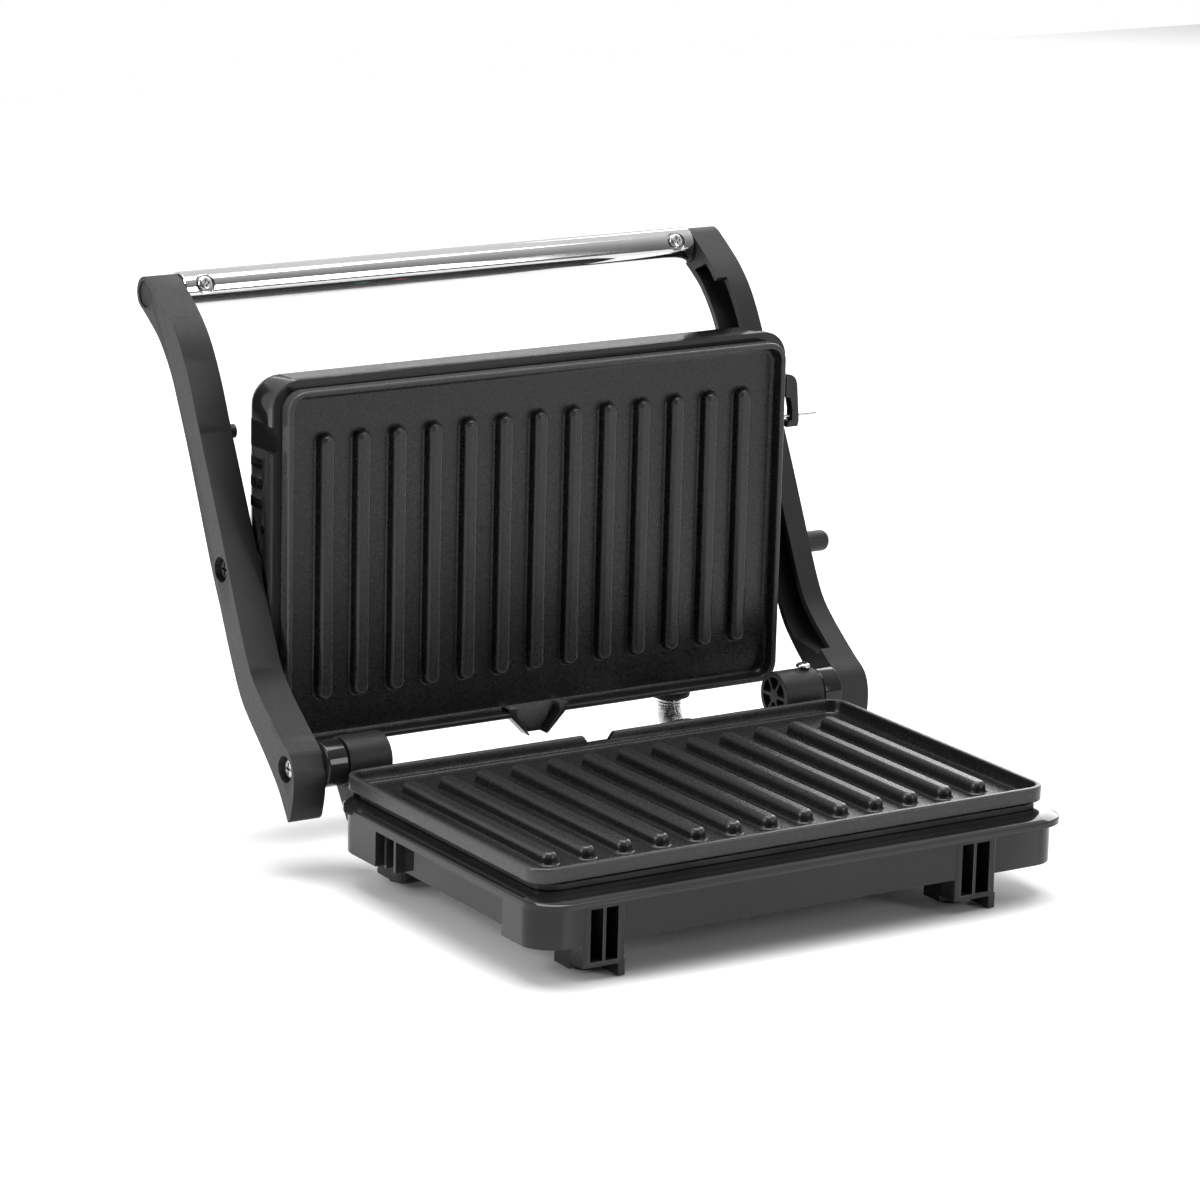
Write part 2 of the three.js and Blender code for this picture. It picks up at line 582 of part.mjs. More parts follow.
const lowerHalf = new THREE.Group();
lowerHalf.position.set(0, LOWER_PLATE_CENTRE.y, LOWER_PLATE_CENTRE.rimZ);
base.add(lowerHalf);
addPart(lowerHalf, 'lower_plate', cut(grillPlate(), drainNotch()), coating());
addPart(lowerHalf, 'lower_reflector', joined(reflectorPan(), reflectorRim()), sheet());
addPart(lowerHalf, 'lower_heater', heater(), steel());
addPart(lowerHalf, 'lower_thermostat', thermostatBlock(), steel());

/** The rim that carries the lower pan on the deck of the housing, seen as a dark band under the plate. */
function reflectorRim() {
  const outer = slab(roundedRect([-112.5, 112.5], [-71, 67.5], 9), [-8.4, -6 - GAP]);
  const inner = slab(roundedRect([-105.5, 105.5], [-63, 61.5], 7), [-9, -5], 3);
  return cut(outer, inner);
}

const padPlaces = [
  ['front_left', -88.5, -63], ['front_right', 76.5, -63], ['rear_left', -95.5, 57.5], ['rear_right', 95.5, 57.5],
];
for (const [place, x, y] of padPlaces) {
  addPart(base, `foot_pad_${place}`, bar([x, y, 0], [x, y, 2.5 - GAP], 4.6, 16), rubber());
}
COVER_SCREWS.forEach(([x, y], index) => {
  const seat = BASE.skirtLow - GAP;
  addPart(base, `cover_screw_${index + 1}`, placed(screw(3.4, 1.6, 1.5, 8), [x, y, seat], [0, 0, -1]), steel());
});
for (const [side, sign] of MIRROR_SIDES) {
  addPart(base, `hinge_barrel_${side}`, hingeBarrel(sign), matte());
}
const barrelTop = HINGE.z + HINGE.barrelRadius;
addPart(
  base, 'barrel_screw', placed(screw(3, 1.5, 1.4, 0.5), [105.5, HINGE.y, barrelTop + 0.5 + GAP], [0, 0, 1]), steel(),
);
addPart(base, 'power_cord_gland', cut(
  joined(bar([-60, 69.3, 21.5], [-60, 78, 21.5], 6.8, 20), bar([-60, 64.5, 21.5], [-60, 69.4, 21.5], 5.2, 12)),
  bar([-60, 68, 21.5], [-60, 80, 21.5], 3.3, 12),
), rubber());
addPart(
  base, 'conduit_grommet_base', ringAlong([50, 69.3, 21.5], [50, 71.2, 21.5], 7.7, CONDUIT.radius + 1.4), rubber(),
);
addPart(base, 'wire_conduit', tubeAlong(conduitRoute, CONDUIT.radius, 18, 10), steel());

const arms = new THREE.Group();
press.add(arms);
for (const [side, sign] of MIRROR_SIDES) {
  const facing = [sign, 0, 0];
  addPart(arms, `arm_${side}`, arm(sign), matte());
  addPart(arms, `hinge_collar_${side}`, ringAlong(
    [sign * COLLAR.inner, HINGE.y, HINGE.z], [sign * COLLAR.outer, HINGE.y, HINGE.z],
    HINGE.collarRadius, HINGE.boltRadius + GAP, 24,
  ), gloss());
  const hingeSeat = [sign * (ARM.outer - SCREW_SEAT + GAP), HINGE.y, HINGE.z];
  addPart(arms, `hinge_bolt_${side}`, placed(screw(4.3, 1.9, HINGE.boltRadius, 30), hingeSeat, facing), steel());
  const pivotSeat = [sign * (ARM.outer - SCREW_SEAT + GAP), PIVOT.y, PIVOT.z];
  addPart(arms, `lid_pivot_pin_${side}`, placed(screw(4.2, 1.7, PIVOT.pinRadius, 18), pivotSeat, facing), matte());
  addPart(arms, `lid_pivot_washer_${side}`, ringAlong(
    [sign * (LID.sideX + GAP), PIVOT.y, PIVOT.z], [sign * (ARM.inner - GAP), PIVOT.y, PIVOT.z],
    6, PIVOT.pinRadius + GAP, 16,
  ), matte());
  const [screwY, screwZ] = handleScrewDirection;
  const seat = handleScrewSeat + GAP;
  addPart(arms, `handle_screw_${side}`, placed(
    screw(3.1, 1.5, 1.6, 5), [sign * HANDLE.screwX, HANDLE.y + screwY * seat, HANDLE.z + screwZ * seat],
    [0, screwY, screwZ],
  ), steel());
}
addPart(arms, 'handle_tube', handleTube(), chrome());
addPart(arms, 'release_knob', joined(
  bar([ARM.outer + GAP, RELEASE.y, RELEASE.z], [145.5, RELEASE.y, RELEASE.z], RELEASE.knob, 20),
  bar([128.4, RELEASE.y, RELEASE.z], [ARM.outer + 1, RELEASE.y, RELEASE.z], RELEASE.stem, 12),
), matte());

const lid = new THREE.Group();
press.add(lid);
const upperHalf = new THREE.Group();
upperHalf.applyMatrix4(lidMatrix);
lid.add(upperHalf);
addPart(upperHalf, 'upper_housing', upperHousing(), gloss());
addPart(upperHalf, 'upper_plate', cut(joined(grillPlate(), drainSpout()), drainChannel()), coating());
addPart(upperHalf, 'upper_reflector', reflectorPan(), sheet());
addPart(upperHalf, 'upper_heater', heater(), steel());
addPart(upperHalf, 'thermal_fuse', fuseTube(), steel());
for (const [colour, x] of LENSES) {
  const lens = bar([x, -60, LID.back - 0.8], [x, -60, LID.back + 1.2 - GAP], 3.5, 14);
  addPart(upperHalf, `${colour}_indicator_lens`, lens, colour === 'red' ? redLens() : greenLens());
}
addPart(
  lid, 'conduit_grommet_lid', ringAlong([71.5, 127, 34.3], [71.5, 127, 37.3], 8.4, CONDUIT.radius + 1.6), rubber(),
);
addPart(lid, 'latch_pin', bar([114, LATCH_PIN.y, LATCH_PIN.z], [136, LATCH_PIN.y, LATCH_PIN.z], 0.6, 10), steel());
addPart(lid, 'latch_hook', latchHook(), gloss());

// The origin is the middle of the whole box, on the surface that the press stands on.
const whole = new THREE.Box3().setFromObject(press);
press.position.set(-(whole.min.x + whole.max.x) / 2, -(whole.min.y + whole.max.y) / 2, -whole.min.z);

export default press;
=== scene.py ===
import json
import math

import bmesh
import bpy
from mathutils import Matrix, Vector


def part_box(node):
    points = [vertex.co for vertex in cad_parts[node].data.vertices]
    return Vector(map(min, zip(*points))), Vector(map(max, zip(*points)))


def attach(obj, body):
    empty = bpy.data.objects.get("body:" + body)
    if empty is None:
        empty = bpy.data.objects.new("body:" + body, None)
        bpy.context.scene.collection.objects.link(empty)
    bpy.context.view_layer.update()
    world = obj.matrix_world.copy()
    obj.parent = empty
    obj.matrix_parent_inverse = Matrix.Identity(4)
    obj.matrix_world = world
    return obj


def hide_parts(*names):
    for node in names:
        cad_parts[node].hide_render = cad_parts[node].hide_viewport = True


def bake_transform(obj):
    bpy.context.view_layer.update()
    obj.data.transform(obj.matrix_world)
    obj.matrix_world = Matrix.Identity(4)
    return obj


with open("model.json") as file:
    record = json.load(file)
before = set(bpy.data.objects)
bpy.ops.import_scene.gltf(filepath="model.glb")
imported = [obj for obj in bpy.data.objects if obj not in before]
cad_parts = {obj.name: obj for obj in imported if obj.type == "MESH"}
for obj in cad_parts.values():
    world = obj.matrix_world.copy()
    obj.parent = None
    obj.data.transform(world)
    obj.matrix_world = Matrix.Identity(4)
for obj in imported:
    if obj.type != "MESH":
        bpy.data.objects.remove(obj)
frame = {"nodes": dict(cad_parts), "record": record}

# A small panini press, standing open. The solids below are drawn in millimetres about the middle of
# the lower plate, and each one is carried into the frame's metres when it becomes a piece.

# ---------- dimensions, in millimetres ----------
MM = 0.001
GAP = 0.3
CORNER_STEPS = 8
ROUND_SIDES = 56

PLATE = dict(width=230, depth=142.3, corner=8, rim=2.4, wall=6, floor=5.5, under=2,
             ribs=13, pitch=16.1, rib_length=106, rib_half=3.5, crest=1)
LOWER_PLATE = dict(y=-0.85, rim_z=42.5)
LID_PLATE = dict(rim_y=113.4, z=109.9)
BASE = dict(flange_x=119.2, flange_front=-82, flange_back=71, flange_low=29.5, flange_top=33.8,
            skirt_x=117.5, skirt_front=-78, skirt_back=69, skirt_low=13.6, wall=2.5)
LID = dict(flange_x=118.8, side_x=118, free=-74.5, hinge=72.5, face=-6.6, step=-9.6, back=-32.6,
           round=10, wall=2.5)
HINGE = dict(y=80.8, z=43, barrel=9.9, collar=9.2, bolt=2.5)
PIVOT = dict(y=133.4, z=109.5, pin=2.9)
HANDLE = dict(y=197.3, z=206.5, radius=7.7, bore=6, screw_x=110.5, screw_tilt=28)
ARM = dict(inner=119.65, outer=133.6, wall=2.6, seat=3.6)
BARREL = (91.5, 109.9)
COLLAR = (110.3, 119.3)
LATCH = dict(y=121.5, z=148, pocket=(-56.9, -46.4))
RELEASE = dict(y=125, z=92.5, stem=2.2, knob=4.4, tip=145.5)
PEG = dict(y=153.6, z=158.8, radius=2.8, tip=117.3)
CONDUIT = dict(radius=5, pitch=1.5, groove=0.55, sides=20, steps_per_turn=7)
FRONT_FEET = ((-98.5, -80.5), (67, 86))
PADS = dict(
    front_left=(-88.5, -63), front_right=(76.5, -63), rear_left=(-95.5, 57.5), rear_right=(95.5, 57.5),
)
COVER_SCREWS = ((-80, -35), (80, -35), (-72, 26), (72, 26))
LENSES = dict(red=-9, green=9)
SIDES = (("left", -1), ("right", 1))

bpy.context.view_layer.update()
plate_low, plate_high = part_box("lower_plate")
SHIFT = Vector((
    (plate_low[0] + plate_high[0]) / 2,
    (plate_low[1] + plate_high[1]) / 2 - LOWER_PLATE["y"] * MM,
    0,
))

# ---------- camera ----------
CAMERA_PLACE = Vector((-1.00055, -1.5449, 0.5731))
CAMERA_YAW = math.radians(32.63)
CAMERA_PITCH = math.radians(14.49)
CAMERA_ROLL = math.radians(1.42)


def make_camera():
    forward = Vector((
        math.sin(CAMERA_YAW) * math.cos(CAMERA_PITCH),
        math.cos(CAMERA_YAW) * math.cos(CAMERA_PITCH),
        -math.sin(CAMERA_PITCH),
    ))
    level = forward.cross(Vector((0, 0, 1))).normalized()
    above = level.cross(forward)
    right = level * math.cos(CAMERA_ROLL) + above * math.sin(CAMERA_ROLL)
    up = above * math.cos(CAMERA_ROLL) - level * math.sin(CAMERA_ROLL)
    data = bpy.data.cameras.new("camera")
    data.sensor_width = 36
    data.lens = 146.4
    data.clip_start = 0.05
    data.clip_end = 50
    camera = bpy.data.objects.new("camera", data)
    turn = Matrix((right, up, -forward)).transposed().to_4x4()
    camera.matrix_world = Matrix.Translation(CAMERA_PLACE) @ turn
    bpy.context.scene.collection.objects.link(camera)
    bpy.context.scene.camera = camera


make_camera()


# ---------- solids ----------
def solid(loops, wrap=False):
    """A closed skin through loops of equal length. It is capped at both ends, or wraps round on itself."""
    count = len(loops[0])
    points = [tuple(point) for loop in loops for point in loop]
    faces = []
    for row in range(len(loops) if wrap else len(loops) - 1):
        low = row * count
        high = (row + 1) % len(loops) * count
        for i in range(count):
            j = (i + 1) % count
            faces.append((low + i, low + j, high + j, high + i))
    if not wrap:
        faces.append(tuple(reversed(range(count))))
        faces.append(tuple(range(len(points) - count, len(points))))
    mesh = bpy.data.meshes.new("solid")
    mesh.from_pydata(points, [], faces)
    form = bmesh.new()
    form.from_mesh(mesh)
    bmesh.ops.recalc_face_normals(form, faces=form.faces)
    form.to_mesh(mesh)
    form.free()
    item = bpy.data.objects.new("solid", mesh)
    bpy.context.scene.collection.objects.link(item)
    return item


def combine(target, operation, tools):
    """Joins tools to target, or cuts them away, and removes them."""
    for tool in tools:
        modifier = target.modifiers.new("combine", "BOOLEAN")
        modifier.solver = "MANIFOLD"
        modifier.operation = operation
        modifier.object = tool
    bpy.context.view_layer.update()
    graph = bpy.context.evaluated_depsgraph_get()
    mesh = bpy.data.meshes.new_from_object(target.evaluated_get(graph))
    target.modifiers.clear()
    target.data = mesh
    for tool in tools:
        bpy.data.objects.remove(tool)
    return target


def joined(target, *tools):
    return combine(target, "UNION", tools)


def cut(target, *tools):
    return combine(target, "DIFFERENCE", tools)


def together(items):
    """One object from several separate solids that only touch or sit in each other."""
    form = bmesh.new()
    for item in items:
        form.from_mesh(item.data)
    mesh = bpy.data.meshes.new("together")
    form.to_mesh(mesh)
    form.free()
    whole = bpy.data.objects.new("together", mesh)
    bpy.context.scene.collection.objects.link(whole)
    for item in items:
        bpy.data.objects.remove(item)
    return whole


def rounded(x0, x1, y0, y1, radius, steps=CORNER_STEPS):
    """Outline of a rectangle with rounded corners, as (x, y) points."""
    x0, x1 = sorted((x0, x1))
    corners = (
        (x1 - radius, y0 + radius, -90), (x1 - radius, y1 - radius, 0),
        (x0 + radius, y1 - radius, 90), (x0 + radius, y0 + radius, 180),
    )
    points = []
    for x, y, start in corners:
        for step in range(steps + 1):
            angle = math.radians(start + 90 * step / steps)
            points.append((x + radius * math.cos(angle), y + radius * math.sin(angle)))
    return points


def slab(outline, z0, z1):
    return solid([[(x, y, z) for x, y in outline] for z in (z0, z1)])


def side_plate(outline, x0, x1):
    """A flat plate that stands across X, from its (y, z) outline."""
    return solid([[(x, y, z) for y, z in outline] for x in (x0, x1)])


def box(x, y, z):
    x0, x1 = sorted(x)
    return slab([(x0, y[0]), (x1, y[0]), (x1, y[1]), (x0, y[1])], *z)


def turned(profile, place, direction, sides=ROUND_SIDES, wrap=False):
    """A turned solid from (radius, height) steps, standing on place and pointing along direction."""
    turn = Vector(direction).normalized().to_track_quat("Z", "Y")
    loops = []
    for radius, height in profile:
        loop = []
        for step in range(sides):
            angle = 2 * math.pi * step / sides
            point = Vector((radius * math.cos(angle), radius * math.sin(angle), height))
            loop.append(Vector(place) + turn @ point)
        loops.append(loop)
    return solid(loops, wrap)


def bar(start, end, radius, sides=ROUND_SIDES):
    along = Vector(end) - Vector(start)
    return turned([(radius, 0), (radius, along.length)], start, along, sides)


def side_bar(sign, near, far, y, z, radius, sides=ROUND_SIDES):
    return bar((sign * near, y, z), (sign * far, y, z), radius, sides)


def ring(start, end, outer, inner, edge=0.5):
    """A ring with softly rounded outer edges."""
    along = Vector(end) - Vector(start)
    length = along.length
    profile = [
        (inner, 0), (outer - edge, 0), (outer - edge * 0.3, edge * 0.3), (outer, edge),
        (outer, length - edge), (outer - edge * 0.3, length - edge * 0.3), (outer - edge, length),
        (inner, length),
    ]
    return turned(profile, start, along, wrap=True)


def screw(radius, height, place, direction, shank, length):
    """A pan-head screw with a cross recess. place is the middle of its seat."""
    crown = [
        (radius, 0), (radius, height * 0.35), (radius * 0.97, height * 0.5),
        (radius * 0.88, height * 0.72), (radius * 0.72, height * 0.88), (radius * 0.5, height * 0.97),
        (radius * 0.2, height),
    ]
    turn = Vector(direction).normalized().to_track_quat("Z", "Y").to_matrix().to_4x4()
    head = turned(crown, (0, 0, 0), (0, 0, 1), 40)
    wide = radius * 0.13
    reach = radius * 0.56
    low = height * 0.3
    blades = [
        box((-reach, reach), (-wide, wide), (low, height + 1)),
        box((-wide, wide), (-reach, reach), (low, height + 1)),
        box((-wide * 1.7, wide * 1.7), (-wide * 1.7, wide * 1.7), (low * 0.8, height + 1)),
    ]
    blades[2].data.transform(Matrix.Rotation(math.pi / 4, 4, "Z"))
    head = joined(cut(head, *blades), bar((0, 0, -length), (0, 0, 0.1), shank, 24))
    head.data.transform(Matrix.Translation(Vector(place)) @ turn)
    return head


def spline(points, t):
    """A point at t on a smooth curve through points, with equal parts of t between them."""
    spans = len(points) - 1
    at = min(max(t, 0), 1) * spans
    index = min(int(at), spans - 1)
    part = at - index
    p1 = Vector(points[index])
    p2 = Vector(points[index + 1])
    p0 = Vector(points[max(index - 1, 0)])
    p3 = Vector(points[min(index + 2, spans)])
    v1 = (p2 - p0) * 0.5
    v2 = (p3 - p1) * 0.5
    return (
        (2 * p1 - 2 * p2 + v1 + v2) * part ** 3
        + (-3 * p1 + 3 * p2 - 2 * v1 - v2) * part ** 2 + v1 * part + p1
    )


# ---------- materials ----------
def new_material(name, colour, roughness, metallic=0.0, specular=0.5, coat=0.0, coat_roughness=0.05):
    item = bpy.data.materials.new(name)
    item.use_nodes = True
    shader = item.node_tree.nodes["Principled BSDF"]
    shader.inputs["Base Color"].default_value = (*colour, 1)
    shader.inputs["Roughness"].default_value = roughness
    shader.inputs["Metallic"].default_value = metallic
    shader.inputs["Specular IOR Level"].default_value = specular
    shader.inputs["Coat Weight"].default_value = coat
    shader.inputs["Coat Roughness"].default_value = coat_roughness
    return item


def noise(item, scale, detail=3.0, stretch=(1, 1, 1)):
    """Noise in the piece's own space. scale is in cells to the metre."""
    nodes = item.node_tree.nodes
    links = item.node_tree.links
    place = nodes.new("ShaderNodeTexCoord")
    mapping = nodes.new("ShaderNodeMapping")
    mapping.inputs["Scale"].default_value = stretch
    texture = nodes.new("ShaderNodeTexNoise")
    texture.inputs["Scale"].default_value = scale
    texture.inputs["Detail"].default_value = detail
    links.new(place.outputs["Object"], mapping.inputs["Vector"])
    links.new(mapping.outputs["Vector"], texture.inputs["Vector"])
    return texture.outputs["Fac"]


def ramp(item, source, stops):
    """A colour ramp over source. stops are (position, colour)."""
    node = item.node_tree.nodes.new("ShaderNodeValToRGB")
    item.node_tree.links.new(source, node.inputs["Fac"])
    elements = node.color_ramp.elements
    while len(elements) < len(stops):
        elements.new(0.5)
    for element, (position, colour) in zip(elements, stops):
        element.position = position
        element.color = (*colour, 1)
    return node.outputs["Color"]


def two_tone(item, dark, light, scale, detail=3.0):
    """A soft patchy change from one colour to the other."""
    return ramp(item, noise(item, scale, detail), [(0.3, dark), (0.7, light)])


def mix(item, factor, first, second, kind="MIX"):
    """Mixes two colours; each is a socket or a plain colour."""
    node = item.node_tree.nodes.new("ShaderNodeMix")
    node.data_type = "RGBA"
    node.blend_type = kind
    ends = ((node.inputs[0], factor), (node.inputs[6], first), (node.inputs[7], second))
    for socket, value in ends:
        if isinstance(value, bpy.types.NodeSocket):
            item.node_tree.links.new(value, socket)
        elif isinstance(value, tuple):
            socket.default_value = (*value, 1)
        else:
            socket.default_value = value
    return node.outputs[2]


def spread(item, source, low, high):
    """Maps noise to a range of roughness."""
    node = item.node_tree.nodes.new("ShaderNodeMapRange")
    node.inputs["From Min"].default_value = 0.3
    node.inputs["From Max"].default_value = 0.7
    node.inputs["To Min"].default_value = low
    node.inputs["To Max"].default_value = high
    item.node_tree.links.new(source, node.inputs["Value"])
    return node.outputs["Result"]


def feed(item, socket, source):
    item.node_tree.links.new(source, item.node_tree.nodes["Principled BSDF"].inputs[socket])


def bumps(item, *layers):
    """Bump layers, each (height source, depth in metres, strength), from the coarsest to the finest."""
    before = None
    for source, depth, strength in layers:
        node = item.node_tree.nodes.new("ShaderNodeBump")
        node.inputs["Distance"].default_value = depth
        node.inputs["Strength"].default_value = strength
        item.node_tree.links.new(source, node.inputs["Height"])
        if before is not None:
            item.node_tree.links.new(before, node.inputs["Normal"])
        before = node.outputs["Normal"]
    feed(item, "Normal", before)


def painted_edge_highlight(item, base, highlight_colour, amount):
    """Lightens the proud edges in the colour: a painted highlight where rounded edges catch the light."""
    nodes = item.node_tree.nodes
    geometry = nodes.new("ShaderNodeNewGeometry")
    # The Pointiness mask paints a highlight on the sharp, proud edges.
    highlight_mask = ramp(item, geometry.outputs["Pointiness"], [(0.52, (0, 0, 0)), (0.62, (amount, amount, amount))])
    return mix(item, highlight_mask, base, highlight_colour)


def gloss_shell():
    """Hard polished black plastic, with the faint waviness of a moulding and a few dull patches."""
    item = new_material("gloss_black_plastic", (0.006, 0.006, 0.007), 0.1, specular=0.3)
    tone = two_tone(item, (0.004, 0.004, 0.0045), (0.008, 0.008, 0.0085), 22)
    # Proud edges get a painted highlight in the colour.
    feed(item, "Base Color", painted_edge_highlight(item, tone, (0.05, 0.05, 0.052), 0.5))
    feed(item, "Roughness", spread(item, noise(item, 60, 5.0), 0.05, 0.13))
    bumps(item, (noise(item, 45, 1.0), 0.0006, 0.10), (noise(item, 1500, 2.0), 0.00001, 0.05))
    return item


def matte_body():
    """Spark-textured black plastic."""
    item = new_material("matte_black_plastic", (0.01, 0.01, 0.0105), 0.46, specular=0.28)
    tone = two_tone(item, (0.008, 0.008, 0.0085), (0.013, 0.013, 0.0135), 35, 4.0)
    fine = ramp(item, noise(item, 2600, 2.0), [(0.35, (0.75, 0.75, 0.75)), (0.75, (1.25, 1.25, 1.25))])
    grain = mix(item, 1.0, tone, fine, "MULTIPLY")
    # Proud edges get a painted highlight in the colour.
    feed(item, "Base Color", painted_edge_highlight(item, grain, (0.06, 0.06, 0.062), 0.45))
    feed(item, "Roughness", spread(item, noise(item, 900, 3.0), 0.42, 0.58))
    bumps(item, (noise(item, 1700, 3.0), 0.00007, 0.35), (noise(item, 5200, 2.0), 0.00003, 0.3))
    return item


def coated_plate():
    """Cast plate with a sprayed non-stick coat: dark, slightly metallic, with fine pale specks."""
    item = new_material("non_stick_coating", (0.008, 0.008, 0.0082), 0.34, specular=0.36)
    tone = two_tone(item, (0.005, 0.005, 0.0052), (0.009, 0.009, 0.0092), 30, 4.0)
    specks = ramp(item, noise(item, 2600, 1.0), [(0.6, (0, 0, 0)), (0.72, (0.8, 0.8, 0.8))])
    speckled = mix(item, specks, tone, (0.05, 0.05, 0.052))
    # Rib and rim edges get a strong painted highlight in the colour.
    feed(item, "Base Color", painted_edge_highlight(item, speckled, (0.16, 0.16, 0.165), 0.8))
    feed(item, "Roughness", spread(item, noise(item, 700, 4.0), 0.24, 0.38))
    bumps(item, (noise(item, 420, 3.0), 0.00012, 0.25), (noise(item, 2200, 3.0), 0.0001, 0.5))
    return item


def chrome_tube():
    """Bright chrome with a faint lengthwise polish."""
    item = new_material("polished_chrome", (0.6, 0.6, 0.61), 0.07, metallic=1.0)
    streaks = noise(item, 900, 4.0, (0.02, 1, 1))
    feed(item, "Base Color", two_tone(item, (0.56, 0.56, 0.57), (0.64, 0.64, 0.65), 30))
    feed(item, "Roughness", spread(item, streaks, 0.04, 0.11))
    bumps(item, (streaks, 0.00001, 0.12), (noise(item, 70, 2.0), 0.0001, 0.04))
    return item


def bright_steel(name="zinc_plated_steel", stretch=(1, 1, 1)):
    item = new_material(name, (0.55, 0.55, 0.56), 0.25, metallic=1.0)
    grain = noise(item, 1600, 4.0, stretch)
    feed(item, "Base Color", two_tone(item, (0.42, 0.42, 0.43), (0.62, 0.62, 0.63), 300, 4.0))
    feed(item, "Roughness", spread(item, grain, 0.16, 0.34))
    bumps(item, (grain, 0.00002, 0.35))
    return item


def painted_sheet():
    item = new_material("matte_black_paint", (0.016, 0.016, 0.016), 0.55, specular=0.4)
    tone = two_tone(item, (0.012, 0.012, 0.012), (0.021, 0.021, 0.021), 50, 4.0)
    # Proud edges get a painted highlight in the colour.
    feed(item, "Base Color", painted_edge_highlight(item, tone, (0.07, 0.07, 0.07), 0.4))
    feed(item, "Roughness", spread(item, noise(item, 600, 3.0), 0.45, 0.65))
    bumps(item, (noise(item, 1400, 3.0), 0.00004, 0.3))
    return item


def satin_pan():
    item = new_material("satin_aluminium", (0.5, 0.5, 0.51), 0.35, metallic=1.0)
    grain = noise(item, 900, 4.0, (0.05, 1, 1))
    feed(item, "Base Color", two_tone(item, (0.42, 0.42, 0.43), (0.56, 0.56, 0.57), 80, 4.0))
    feed(item, "Roughness", spread(item, grain, 0.28, 0.45))
    bumps(item, (grain, 0.00002, 0.3))
    return item


def dark_sheet():
    item = new_material("dark_satin_sheet", (0.03, 0.03, 0.03), 0.5, metallic=0.6)
    feed(item, "Base Color", two_tone(item, (0.018, 0.018, 0.018), (0.035, 0.035, 0.035), 60, 4.0))
    feed(item, "Roughness", spread(item, noise(item, 400, 4.0, (0.1, 1, 1)), 0.4, 0.6))
    bumps(item, (noise(item, 1200, 3.0, (0.1, 1, 1)), 0.00002, 0.3))
    return item


def black_rubber():
    item = new_material("black_rubber", (0.018, 0.018, 0.018), 0.75, specular=0.3)
    feed(item, "Base Color", two_tone(item, (0.013, 0.013, 0.013), (0.024, 0.024, 0.024), 120, 4.0))
    feed(item, "Roughness", spread(item, noise(item, 800, 3.0), 0.65, 0.85))
    bumps(item, (noise(item, 2400, 3.0), 0.00005, 0.4))
    return item


def lens(name, dark, light):
    item = new_material(name, light, 0.12, specular=0.6, coat=0.5)
    feed(item, "Base Color", two_tone(item, dark, light, 350, 3.0))
    feed(item, "Roughness", spread(item, noise(item, 500, 3.0), 0.08, 0.18))
    bumps(item, (noise(item, 900, 2.0), 0.00004, 0.2))
    return item


LOOKS = dict(
    gloss_shell=gloss_shell(), matte_body=matte_body(), coated_plate=coated_plate(), dark_sheet=dark_sheet(),
    bright_steel=bright_steel(), wound_steel=bright_steel("wound_steel", (1, 1, 0.2)),
    chrome_tube=chrome_tube(),
    black_rubber=black_rubber(), red_lens=lens("red_lens", (0.22, 0.008, 0.006), (0.36, 0.016, 0.012)),
    green_lens=lens("green_lens", (0.01, 0.14, 0.04), (0.02, 0.24, 0.07)),
    painted_sheet=painted_sheet(), lid_pan=satin_pan(),
)


# ---------- pieces ----------
def soften(item, width, angle):
    """Rounds the edges sharper than angle, and shades the rest smoothly."""
    for face in item.data.polygons:
        face.use_smooth = True
    if width:
        bevel = item.modifiers.new("rounded_edges", "BEVEL")
        bevel.width = width * MM
        bevel.segments = 3
        bevel.limit_method = "ANGLE"
        bevel.angle_limit = math.radians(angle)
        bevel.use_clamp_overlap = True
    normals = item.modifiers.new("even_shading", "WEIGHTED_NORMAL")
    normals.weight = 100
    normals.keep_sharp = True


def to_frame(item):
    item.data.transform(Matrix.Translation(SHIFT) @ Matrix.Scale(MM, 4))


def piece(item, name, body, slot, stands_for, round_edges=0.35, angle=34):
    """Makes a solid a piece of the press: in the frame, with its look, on its body."""
    to_frame(item)
    item.name = name
    item.data.name = name
    form = bmesh.new()
    form.from_mesh(item.data)
    bmesh.ops.remove_doubles(form, verts=form.verts, dist=0.000004)
    bmesh.ops.dissolve_limit(form, angle_limit=math.radians(0.6), verts=form.verts, edges=form.edges)
    form.to_mesh(item.data)
    form.free()
    item.data.materials.clear()
    item.data.materials.append(LOOKS[slot])
    soften(item, round_edges, angle)
    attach(item, body)
    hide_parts(stands_for)
    return item


# ---------- grill plates ----------
def plate_body():
    """The plate without its ribs: soft rim, hollow face and a fillet round its floor."""
    half_x = PLATE["width"] / 2
    half_y = PLATE["depth"] / 2
    rim = PLATE["rim"]
    wall = PLATE["wall"]
    floor = -PLATE["floor"]
    # Each step is an inset from the outside and a height below the rim.
    steps = [
        (12, -wall - PLATE["under"]), (12, -wall), (0.7, -wall), (0.2, -wall + 0.2), (0, -wall + 0.7),
        (0, -0.9), (0.12, -0.45), (0.4, -0.12), (0.9, 0), (rim - 0.7, 0), (rim - 0.25, -0.12),
        (rim, -0.5), (rim + 0.15, -2.2), (rim + 0.35, floor + 1.5), (rim + 0.75, floor + 0.6),
        (rim + 1.4, floor + 0.15), (rim + 2.4, floor),
    ]
    loops = []
    for inset, z in steps:
        radius = max(PLATE["corner"] - inset, 3.2)
        outline = rounded(-half_x + inset, half_x - inset, -half_y + inset, half_y - inset, radius)
        loops.append([(x, y, z) for x, y in outline])
    return solid(loops)


